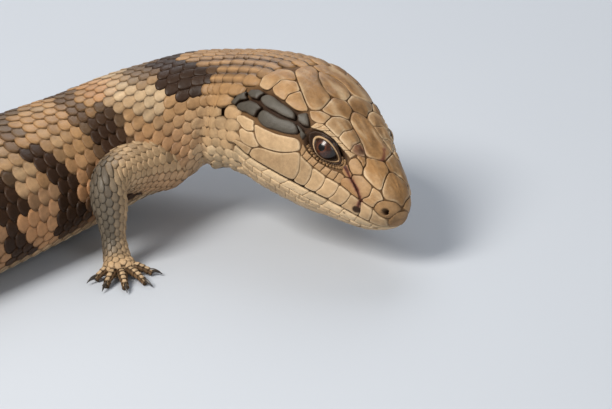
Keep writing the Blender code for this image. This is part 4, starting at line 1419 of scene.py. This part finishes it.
# share of a bead's radius, height over the head
BEAD_SHAPE = ((0.5, -0.8), (0.95, -0.6), (1.0, -0.4), (0.8, -0.2), (0.35, -0.14))
# share of the way out from the opening, height over the ball or the head
LID_SHAPE = ((-0.16, -0.55), (-0.06, -0.05), (0.02, 0.12), (0.12, 0.28), (0.27, 0.26),
             (0.36, 0.02), (0.46, -0.06), (0.60, 0.06), (0.76, 0.08), (0.90, -0.04),
             (1.0, -0.40), (0.8, -0.9), (0.3, -0.8))


def eye_frame(side):
    """Place on the head, outward normal, forward and downward directions at an eye."""
    s, degrees = EYE_AT[0], side * EYE_AT[1]
    here = surface(s, degrees)
    back = surface(s + 1, degrees) - surface(s - 1, degrees)
    round_ = surface(s, degrees + side * 3) - surface(s, degrees - side * 3)
    normal = unit(np.cross(back, round_))
    normal = normal * np.sign(normal @ (here - frame_at(s)[0]))
    ahead = unit(-back)
    down = unit(round_ - ahead * (round_ @ ahead))
    return here, normal, ahead, down


def eye_oval(size, shift, count):
    """The points of an oval round the eye, ahead of and below the eye's place.

    The oval is x = a cos p, y = b sin p, drawn to blunt points at its ends and tilted.
    """
    p = np.linspace(0, 2 * np.pi, count, endpoint=False)
    x = size[0] * np.cos(p)
    y = size[1] * np.sin(p) * (1 - 0.16 * np.cos(p) ** 2)
    tilt = math.radians(EYE_TILT)
    return (x * math.cos(tilt) - y * math.sin(tilt) + shift[0],
            x * math.sin(tilt) + y * math.cos(tilt) - shift[1])


def head_from_eye(side, x, y, lift):
    """Head surface at x ahead and y down from the eye's place, and lifted."""
    here, _, _, _ = eye_frame(side)
    per_degree = np.linalg.norm(surface(EYE_AT[0], side * (EYE_AT[1] + 2)) - here) / 2
    s = EYE_AT[0] - x
    degrees = side * (EYE_AT[1] + y / per_degree)
    return surface(s, degrees, lift)


def lid_points(side):
    """Rings of an eyelid: each ring follows the opening, the section makes rim and groove."""
    here, normal, ahead, down = eye_frame(side)
    centre = here - normal * (EYE_RADIUS - EYE_PROUD)
    x_in, y_in = eye_oval(EYE_OPEN, EYE_OPEN_SHIFT, LID_ROUND)
    x_out, y_out = eye_oval(EYE_RING, RING_SHIFT, LID_ROUND)
    share, height = (np.array(LID_SHAPE)[:, k][:, None] for k in range(2))
    x = x_in + (x_out - x_in) * share
    y = y_in + (y_out - y_in) * share
    radius = EYE_RADIUS + 0.05
    rise = np.sqrt(np.maximum(radius**2 - x**2 - y**2, 1.0))
    direction = unit(normal * rise[..., None] + ahead * x[..., None] + down * y[..., None])
    on_ball = centre + direction * (radius + height)[..., None]
    on_head = head_from_eye(side, x, y, height)
    mix = ease(0.0, 0.75, share)[..., None]
    wrinkle = 0.05 * np.cos(27 * np.linspace(0, 2 * np.pi, LID_ROUND, endpoint=False))[:, None]
    bumpy = ease(0.3, 0.5, share)[..., None] * ease(1.0, 0.8, share)[..., None]
    place = on_ball * (1 - mix) + on_head * mix
    return place + normal * wrinkle * bumpy


def lid_marks(shape):
    """Cream rim, black ring round it."""
    share = np.array(LID_SHAPE)[:, 0][:, None]
    order = np.arange(len(LID_SHAPE))[:, None]
    found = marks(shape)
    cream = (order <= 4) * ease(-0.1, 0.05, share)
    found["pale"] = 0.5 * cream + 0 * found["pale"]
    found["dark"] = np.where(order <= 4, 1.0 * (share < 0.10), 1.0) + 0 * found["dark"]
    return found


def granule_points(side):
    """Small beads in two rows below the black ring."""
    found = []
    out, up = np.array(BEAD_SHAPE).T[:, None, :, None]
    ring = np.linspace(0, 2 * np.pi, 8, endpoint=False)
    for row, (grow, count, size) in enumerate(BEAD_ROWS):
        oval = (EYE_RING[0] * grow + 0.1, EYE_RING[1] * grow + 0.25)
        x, y = eye_oval(oval, RING_SHIFT, count)
        below = y > 0.6 - 0.35 * x
        x, y = x[below][:, None, None], y[below][:, None, None]
        grown = size * out * (0.85 + 0.3 * chance(np.arange(len(x)), 11 + row)[:, None, None])
        found.append(head_from_eye(side, x + grown * np.cos(ring), y + grown * np.sin(ring),
                                   up + 0 * ring + 0 * x))
    return np.concatenate(found)


def ball_points(side):
    """Eyeball rings round the pupil's axis: a sphere with a low bulge for the cornea."""
    here, normal, ahead, down = eye_frame(side)
    centre = here - normal * (EYE_RADIUS - EYE_PROUD)
    pupil = unit(normal * EYE_RADIUS + ahead * PUPIL_SHIFT[0] + down * -PUPIL_SHIFT[1])
    first = unit(np.cross(pupil, down))
    second = np.cross(pupil, first)
    polar = np.radians(np.concatenate([np.linspace(1, 60, 44), np.linspace(64, 179, 22)]))
    turn = np.linspace(0, 2 * np.pi, 56, endpoint=False)
    radius = EYE_RADIUS - 0.12 + 0.22 * np.exp(-(polar / 0.55) ** 2)
    ring = first * np.cos(turn)[:, None] + second * np.sin(turn)[:, None]
    points = centre + radius[:, None, None] * (
        pupil * np.cos(polar)[:, None, None] + ring[None] * np.sin(polar)[:, None, None])
    off = np.broadcast_to((EYE_RADIUS * np.sin(polar))[:, None] + 10 * (polar > 1.4)[:, None],
                          points.shape[:2])
    return points, off


SKIN_ROUND = 132       # points round head, trunk and tail
LIMB_ROUND = 32
LEG_RINGS = 70
TOE_RINGS = 12
LEG_SKIN = -0.55       # height of the legs' and toes' skin over the solids' surface
TOE_SKIN = -0.24
TAIL_SKIN = ((0, 1), (430, 1), (491, 0.5))     # share of the skin's depth along the body
MOUTH_BELOW = 1.8      # degrees from the upper lip's edge down to the middle of the mouth's line
# how much deeper the skin lies in the pits of the head
EYE_PIT, NOSTRIL_PIT, EAR_PIT, MOUTH_PIT, TEMPLE_PIT = 2.6, 2.4, 1.5, 1.5, 0.8


def skin_distances():
    """Distances of the skin's rings: closest at the snout, close on the head."""
    return np.concatenate([np.linspace(0.03, 1, 8), np.arange(1.2, 6, 0.3), np.arange(6, 64, 0.5),
                           np.arange(64, 160, 0.9), np.arange(160, 330, 1.3),
                           np.arange(330, 489, 1.6), [489, 490, 490.6, 490.95]])


def temple_mask(straight, away):
    """1 on the dark temple behind the eye, a slanting oval, and 0 off it."""
    return spot(straight, away - 0.5 * (straight - 45), 45.5, 56.5, 14.5, 12.0, 0.1)


def skin_dents(s, degrees, depth):
    """Skin's level: 'depth' inside the solids, deeper in the pits of the head."""
    away = np.abs((np.asarray(degrees) + 180) % 360 - 180)
    straight = straightened(s, degrees)
    eye = ease(1.15, 0.8, np.hypot((s - EYE_AT[0]) / 5.6, (away - EYE_AT[1] - 1) / 13))
    nostril = ease(1.6, 0.9, np.hypot((s - NOSTRIL[0]) / 1.3, (away - NOSTRIL[1]) / 17))
    mouth = np.exp(-((away - table(MOUTH, s) - MOUTH_BELOW) / 2.0) ** 2) * (s < 51)
    return -(depth + EYE_PIT * eye + NOSTRIL_PIT * nostril + MOUTH_PIT * mouth
             + EAR_PIT * ease(1.2, 0.5, from_ear(straight, away))
             + TEMPLE_PIT * temple_mask(straight, away))


def skin_meshes(depth):
    """Closed tubes of skin: head, trunk and tail, then each leg with its palm, and the toes."""
    s = skin_distances()[:, None]
    degrees = np.linspace(-180, 180, SKIN_ROUND, endpoint=False)[None]
    points = hide(s, degrees, skin_dents(s, degrees, depth) * table(TAIL_SKIN, s))
    away, straight = np.abs(degrees), straightened(s, degrees)
    on_body, below = ease(52, 60, straight), ease(104, 110, away)
    found = marks(points.shape[:2])
    for key, array in body_marks(s, degrees + 0 * s, *clouds(points)).items():
        found[key] = array * on_body
    found["pale"] += (1 - on_body) * 0.5 * ease(70, 110, away)
    plain = 0.45 - 0.2 * ease(60, 80, away) - 0.17 * below
    temple = temple_mask(straight, away)
    ears = ease(1.3, 0.7, from_ear(straight, away))
    for mask in (ease(0.9, 0.2, from_line(s, degrees, TEAR_LINE)),
                 ease(0.7, 0.2, from_line(s, degrees, BRIDGE_LINE)), 0.6 * ears):
        raised(found, "rust", mask)
    for mask in ((1 - on_body) * (plain + (1 - plain) * temple), 0.7 * ears,
                 # painted shade: the skin is darkened along the mouth's line, in its groove
                 ease(3.2, 2.2, np.abs(away - table(MOUTH, s) - MOUTH_BELOW)) * (s < 52),
                 # the nostril spot on the next line is painted shade in the nostril's pit
                 spot(s, away, *EYE_AT, 7.5, 16, 0.1), spot(s, away, *NOSTRIL, 1.4, 18, 0.2)):
        raised(found, "dark", mask)
    found["rim"] = 0.5 * (1 - temple) * (1 - 0.5 * (1 - on_body) * below)
    meshes = [tube_mesh("body", points[None], {k: v[None] for k, v in found.items()})]
    t = np.linspace(0, 1, LEG_RINGS)[:, None]
    turn = np.linspace(-180, 180, LIMB_ROUND, endpoint=False)[None]
    for name, stem in LEG_STEMS.items():
        points = limb(stem, t, turn, LEG_SKIN)
        found = marks(points.shape[:2], rim=0.45)
        ragged = value_noise(points, 4.5, 6)
        found.update(leg_marks(name, t + 0 * turn, turn + 0 * t, ragged))
        meshes.append(tube_mesh(name, points[None], {k: v[None] for k, v in found.items()}))
        toes = np.stack([toe.point(np.linspace(0, 1, TOE_RINGS)[:, None], turn[:, ::2], TOE_SKIN)
                         for toe in toe_stems(name)])
        found = marks(toes.shape[:3], pale=0.3, dark=0.75, rim=0.3)
        meshes.append(tube_mesh(name + "_toes", toes, found))
    return meshes


def claw_points(name):
    """Curved, pointed claws of one foot, hooked down to just above the floor."""
    many = np.linspace(0, 1, 12)
    turn = np.linspace(0, 2 * np.pi, 12, endpoint=False)
    found = []
    for stem in toe_stems(name):
        way = stem.centre[-1] - stem.centre[-4]
        flat = unit(way * [1, 1, 0])
        side = np.cross([0.0, 0.0, 1.0], flat)
        start = stem.centre[-1] - unit(way) * 0.7
        centre = start + flat * ((CLAW_LENGTH + 0.9) * many)[:, None]
        centre[:, 2] = start[2] + 0.25 + 0.45 * np.sin(many * 2.2) - 1.05 * many**2
        radius = CLAW_RADIUS * 1.05 * (1 - many) ** 0.75 + 0.06
        up = np.array([0.0, 0.0, 1.0])
        ring = (side[None, None] * np.sin(turn)[None, :, None] * 0.8
                + up[None, None] * np.cos(turn)[None, :, None] * 1.15)
        points = centre[:, None] + ring * radius[:, None, None]
        points[..., 2] = np.maximum(points[..., 2], 0.04)
        found.append(points)
    return np.array(found), np.broadcast_to(many[None, :, None], (len(found), 12, 12))


# Camera, worked out from the photograph: directions in the head's own axes (ahead, left, up)
CAMERA_RIGHT = (0.5747, 0.7684, 0.2818)
CAMERA_DOWN = (0.5635, -0.1218, -0.8171)
CAMERA_AWAY = (-0.5935, 0.6283, -0.5030)
CAMERA_OFFSET = (26.217, 4.055, 700.0)
PIXELS_PER_MM = 3.6311
SENSOR_WIDTH = 36.0


class SkinkSizes(bpy.types.PropertyGroup):
    """Sizes that a user may change."""

    coat_depth: bpy.props.FloatProperty(
        name="Coat depth", description="How far the skin lies inside the solids",
        default=0.62 * MM, min=0.2 * MM, max=1.5 * MM, precision=5, unit="LENGTH")
    floor_size: bpy.props.FloatProperty(
        name="Floor size", description="Side of the floor", default=4.0, min=1.0, unit="LENGTH")
    key_power: bpy.props.FloatProperty(
        name="Key light", description="Power of the large soft light above", default=12.5,
        min=0.0, unit="POWER")
    fill_power: bpy.props.FloatProperty(
        name="Fill light", description="Power of the soft lights by the camera and behind",
        default=3.4, min=0.0, unit="POWER")


def colour_property(label, words, value):
    """Colour setting with its default."""
    return bpy.props.FloatVectorProperty(name=label, description=words, default=value, size=3,
                                         min=0.0, max=1.0, subtype="COLOR")


class SkinkColours(bpy.types.PropertyGroup):
    """Colours that a user may change."""

    tan: colour_property("Tan", "Crown and back", (0.32, 0.170, 0.066))
    cream: colour_property("Cream", "Lips, cheeks and belly", (0.55, 0.40, 0.24))
    brown: colour_property("Brown", "Freckles on the tan", (0.14, 0.068, 0.027))
    dark: colour_property("Dark", "Bands and blots", (0.030, 0.013, 0.005))
    slate: colour_property("Slate", "Temples and the legs' outer sides", (0.075, 0.068, 0.055))
    rust: colour_property("Rust", "Stains on the snout", (0.115, 0.022, 0.018))
    blush: colour_property("Blush", "Warm flanks and neck", (0.46, 0.225, 0.105))
    suture: colour_property("Suture", "Edges of scales", (0.045, 0.022, 0.010))
    claw: colour_property("Claw root", "Horn at the claw's root", (0.055, 0.038, 0.022))
    claw_tip: colour_property("Claw tip", "Horn at the claw's tip", (0.012, 0.009, 0.007))
    iris: colour_property("Iris", "Reddish brown of the iris", (0.030, 0.010, 0.005))
    iris_ring: colour_property("Iris ring", "Paler ring round the pupil", (0.10, 0.030, 0.012))
    eye_rim: colour_property("Eye rim", "Dark rim of the eyeball", (0.010, 0.006, 0.004))
    floor: colour_property("Floor", "Pale floor", (0.47, 0.50, 0.545))


def coat_look():
    """Material of scales, shields and lids."""
    return scaly_material("horny scales", bpy.context.scene.skink_colours, 0.44, 0.035)


class SKINK_OT_skin(bpy.types.Operator):
    """Make the one skin that replaces every length of flesh"""

    bl_idname = "skink.skin"
    bl_label = "Skin"

    def execute(self, context):
        depth = context.scene.skink_sizes.coat_depth / MM
        mesh = joined("skin", skin_meshes(depth))
        legs = [f"{name}_{part}" for name in LEGS for part in ("upper", "lower", "foot")]
        look = scaly_material("skin", context.scene.skink_colours, 0.6, 0.0)
        piece("skin", mesh, look, (*FLESH, *legs))
        return {"FINISHED"}


class SKINK_OT_shields(bpy.types.Operator):
    """Make the head shields"""

    bl_idname = "skink.shields"
    bl_label = "Head shields"

    def execute(self, context):
        for name, kinds in (("head_shields", "tsnlrcg"), ("jaw_shields", "pid")):
            mesh = tube_mesh(name, *shield_plates(kinds))
            piece(name, mesh, coat_look())
        return {"FINISHED"}


# name, first and last distance of the body scales' pieces
SCALE_PIECES = (("neck_scales", 0, 110), ("trunk_scales", 110, 215), ("loin_scales", 215, 310),
                ("tail_scales", 310, 999))


class SKINK_OT_scales(bpy.types.Operator):
    """Make the scales of neck, trunk, loin and tail, each its own piece"""

    bl_idname = "skink.scales"
    bl_label = "Body scales"

    def execute(self, context):
        points, values, maps = body_plates()
        middle = points.mean((1, 2))
        _, s = body_gap(middle)
        for name, low, high in SCALE_PIECES:
            some = (s >= low) & (s < high)
            mesh = tube_mesh(name, points[some], {k: v[some] for k, v in values.items()},
                             maps[some])
            piece(name, mesh, coat_look())
        return {"FINISHED"}


class SKINK_OT_leg_scales(bpy.types.Operator):
    """Make the scales of legs, feet and toes"""

    bl_idname = "skink.leg_scales"
    bl_label = "Leg scales"

    def execute(self, context):
        for number, name in enumerate(LEGS):
            meshes = [tube_mesh(name, *make(number, name)) for make in (leg_plates, toe_plates)]
            piece(name + "_scales", joined(name + "_scales", meshes), coat_look())
        return {"FINISHED"}


class SKINK_OT_lids(bpy.types.Operator):
    """Make the eyelids and the beads round them"""

    bl_idname = "skink.lids"
    bl_label = "Eyelids"

    def execute(self, context):
        for label, side in SIDES.items():
            lid = lid_points(side)[None]
            beads = granule_points(side)
            tone = 2 * chance(np.arange(len(beads)), 5)[:, None, None] - 1
            round_look = marks(beads.shape[:3], pale=0.1, dark=0.15, tone=tone, rim=0.2)
            round_look["dark"][:len(beads) // 2] = 0.7
            meshes = [tube_mesh("lid", lid, lid_marks(lid.shape[:3]), looped=True),
                      tube_mesh("beads", beads, round_look)]
            piece("eyelid_" + label, joined("eyelid_" + label, meshes), coat_look())
        return {"FINISHED"}


class SKINK_OT_eyes(bpy.types.Operator):
    """Make the eyeballs with pupil and iris"""

    bl_idname = "skink.eyes"
    bl_label = "Eyes"

    def execute(self, context):
        colours = context.scene.skink_colours
        look = eye_material("wet eye", colours.iris, colours.iris_ring, colours.eye_rim)
        for label, side in SIDES.items():
            points, off = ball_points(side)
            mesh = tube_mesh("eyeball", points[None], {"off": off[None]})
            piece("eyeball_" + label, mesh, look, ("eye_" + label,))
        return {"FINISHED"}


class SKINK_OT_claws(bpy.types.Operator):
    """Make the claws"""

    bl_idname = "skink.claws"
    bl_label = "Claws"

    def execute(self, context):
        colours = context.scene.skink_colours
        look = horn_material("claw horn", colours.claw, colours.claw_tip)
        for name in LEGS:
            points, along = claw_points(name)
            mesh = tube_mesh("claws", points, {"along": along})
            piece(name + "_claws", mesh, look,
                  tuple(f"{name}_claw_{k}" for k in range(1, 6)))
        return {"FINISHED"}


# name, place from the head: away from the camera, to its left, above; size, power, colour
LIGHTS = (("key", -0.35, -0.60, 0.75, 0.45, "key_power", (1.0, 0.96, 0.90)),
          ("fill", -0.9, 0.5, 0.45, 0.8, "fill_power", (0.93, 0.96, 1.0)),
          ("back", 0.7, 0.0, 0.6, 0.6, "fill_power", (0.95, 0.97, 1.0)))
SKY = (0.86, 0.92, 1.0, 1)
SKY_STRENGTH = 0.26


def area_light(name, place, target, size, power, colour):
    """Square soft light at a place, aimed at the target."""
    lamp = bpy.data.lights.new(name, "AREA")
    lamp.size = size
    lamp.energy = power
    lamp.color = colour
    made = bpy.data.objects.new(name, lamp)
    bpy.context.scene.collection.objects.link(made)
    away = unit(np.array(place, float) - np.array(target, float))
    side = unit(np.cross([0.0, 0.0, 1.0], away) + [1e-6, 0, 0])
    over = np.cross(away, side)
    made.matrix_world = Matrix((
        (side[0], over[0], away[0], place[0]),
        (side[1], over[1], away[1], place[1]),
        (side[2], over[2], away[2], place[2]),
        (0, 0, 0, 1)))
    return made


def camera_axes():
    """Camera's right, down and away directions and its place, in world millimetres."""
    _, forward, left, up = frame_at(0.0)
    head = np.stack([forward, left, up])
    axes = [np.array(d) @ head for d in (CAMERA_RIGHT, CAMERA_DOWN, CAMERA_AWAY)]
    tip = frame_at(0.0)[0]
    place = tip - sum(d * o for d, o in zip(axes, CAMERA_OFFSET))
    return (*axes, place)


class SKINK_OT_stage(bpy.types.Operator):
    """Make the floor, the lights and the camera"""

    bl_idname = "skink.stage"
    bl_label = "Stage"

    def execute(self, context):
        sizes, colours = context.scene.skink_sizes, context.scene.skink_colours
        half = sizes.floor_size / 2
        mesh = bpy.data.meshes.new("floor")
        corners = [(-half, -half, 0), (half, -half, 0), (half, half, 0), (-half, half, 0)]
        mesh.from_pydata(corners, [], [(0, 1, 2, 3)])
        mesh.materials.append(floor_material("pale floor", colours.floor))
        floor = bpy.data.objects.new("floor", mesh)
        context.scene.collection.objects.link(floor)
        right, down, away, eye = camera_axes()
        target = frame_at(30.0)[0] * MM
        lens = bpy.data.cameras.new("camera")
        lens.sensor_width = SENSOR_WIDTH
        lens.lens = PIXELS_PER_MM * CAMERA_OFFSET[2] * SENSOR_WIDTH / IMAGE_WIDTH
        lens.clip_start = 0.05
        camera = bpy.data.objects.new("camera", lens)
        context.scene.collection.objects.link(camera)
        camera.matrix_world = Matrix([
            (right[k], -down[k], -away[k], eye[k] * MM) for k in range(3)] + [(0, 0, 0, 1)])
        context.scene.camera = camera
        level, above = unit(away * [1, 1, 0]), np.array([0.0, 0.0, 1.0])
        axes = np.array([level, np.cross(level, above), above])
        for name, beyond, aside, high, size, power, colour in LIGHTS:
            place = target + np.array([beyond, aside, high]) @ axes
            area_light(name, place, target, size, getattr(sizes, power), colour)
        context.scene.view_settings.view_transform = "Standard"
        world = context.scene.world or bpy.data.worlds.new("world")
        context.scene.world = world
        world.use_nodes = True
        background = world.node_tree.nodes["Background"]
        background.inputs["Color"].default_value = SKY
        background.inputs["Strength"].default_value = SKY_STRENGTH
        return {"FINISHED"}


STEPS = (SKINK_OT_skin, SKINK_OT_shields, SKINK_OT_scales, SKINK_OT_leg_scales, SKINK_OT_lids,
         SKINK_OT_eyes, SKINK_OT_claws, SKINK_OT_stage)


class SKINK_PT_panel(bpy.types.Panel):
    """Lists the steps and their settings"""

    bl_label = "Skink"
    bl_idname = "SKINK_PT_panel"
    bl_space_type = "VIEW_3D"
    bl_region_type = "UI"
    bl_category = "Skink"

    def draw(self, context):
        """One button for each step, then the settings."""
        for step in STEPS:
            self.layout.operator(step.bl_idname)
        for group in (context.scene.skink_sizes, context.scene.skink_colours):
            for key in group.__annotations__:
                self.layout.prop(group, key)


CLASSES = (SkinkSizes, SkinkColours, *STEPS, SKINK_PT_panel)


def register():
    """Adds the classes and the settings."""
    for one in CLASSES:
        bpy.utils.register_class(one)
    bpy.types.Scene.skink_sizes = bpy.props.PointerProperty(type=SkinkSizes)
    bpy.types.Scene.skink_colours = bpy.props.PointerProperty(type=SkinkColours)


def unregister():
    """Removes the settings and the classes."""
    del bpy.types.Scene.skink_colours
    del bpy.types.Scene.skink_sizes
    for one in reversed(CLASSES):
        bpy.utils.unregister_class(one)


def main():
    register()
    for step in STEPS:
        group, action = step.bl_idname.split(".")
        getattr(getattr(bpy.ops, group), action)()


if __name__ == "__main__":
    main()
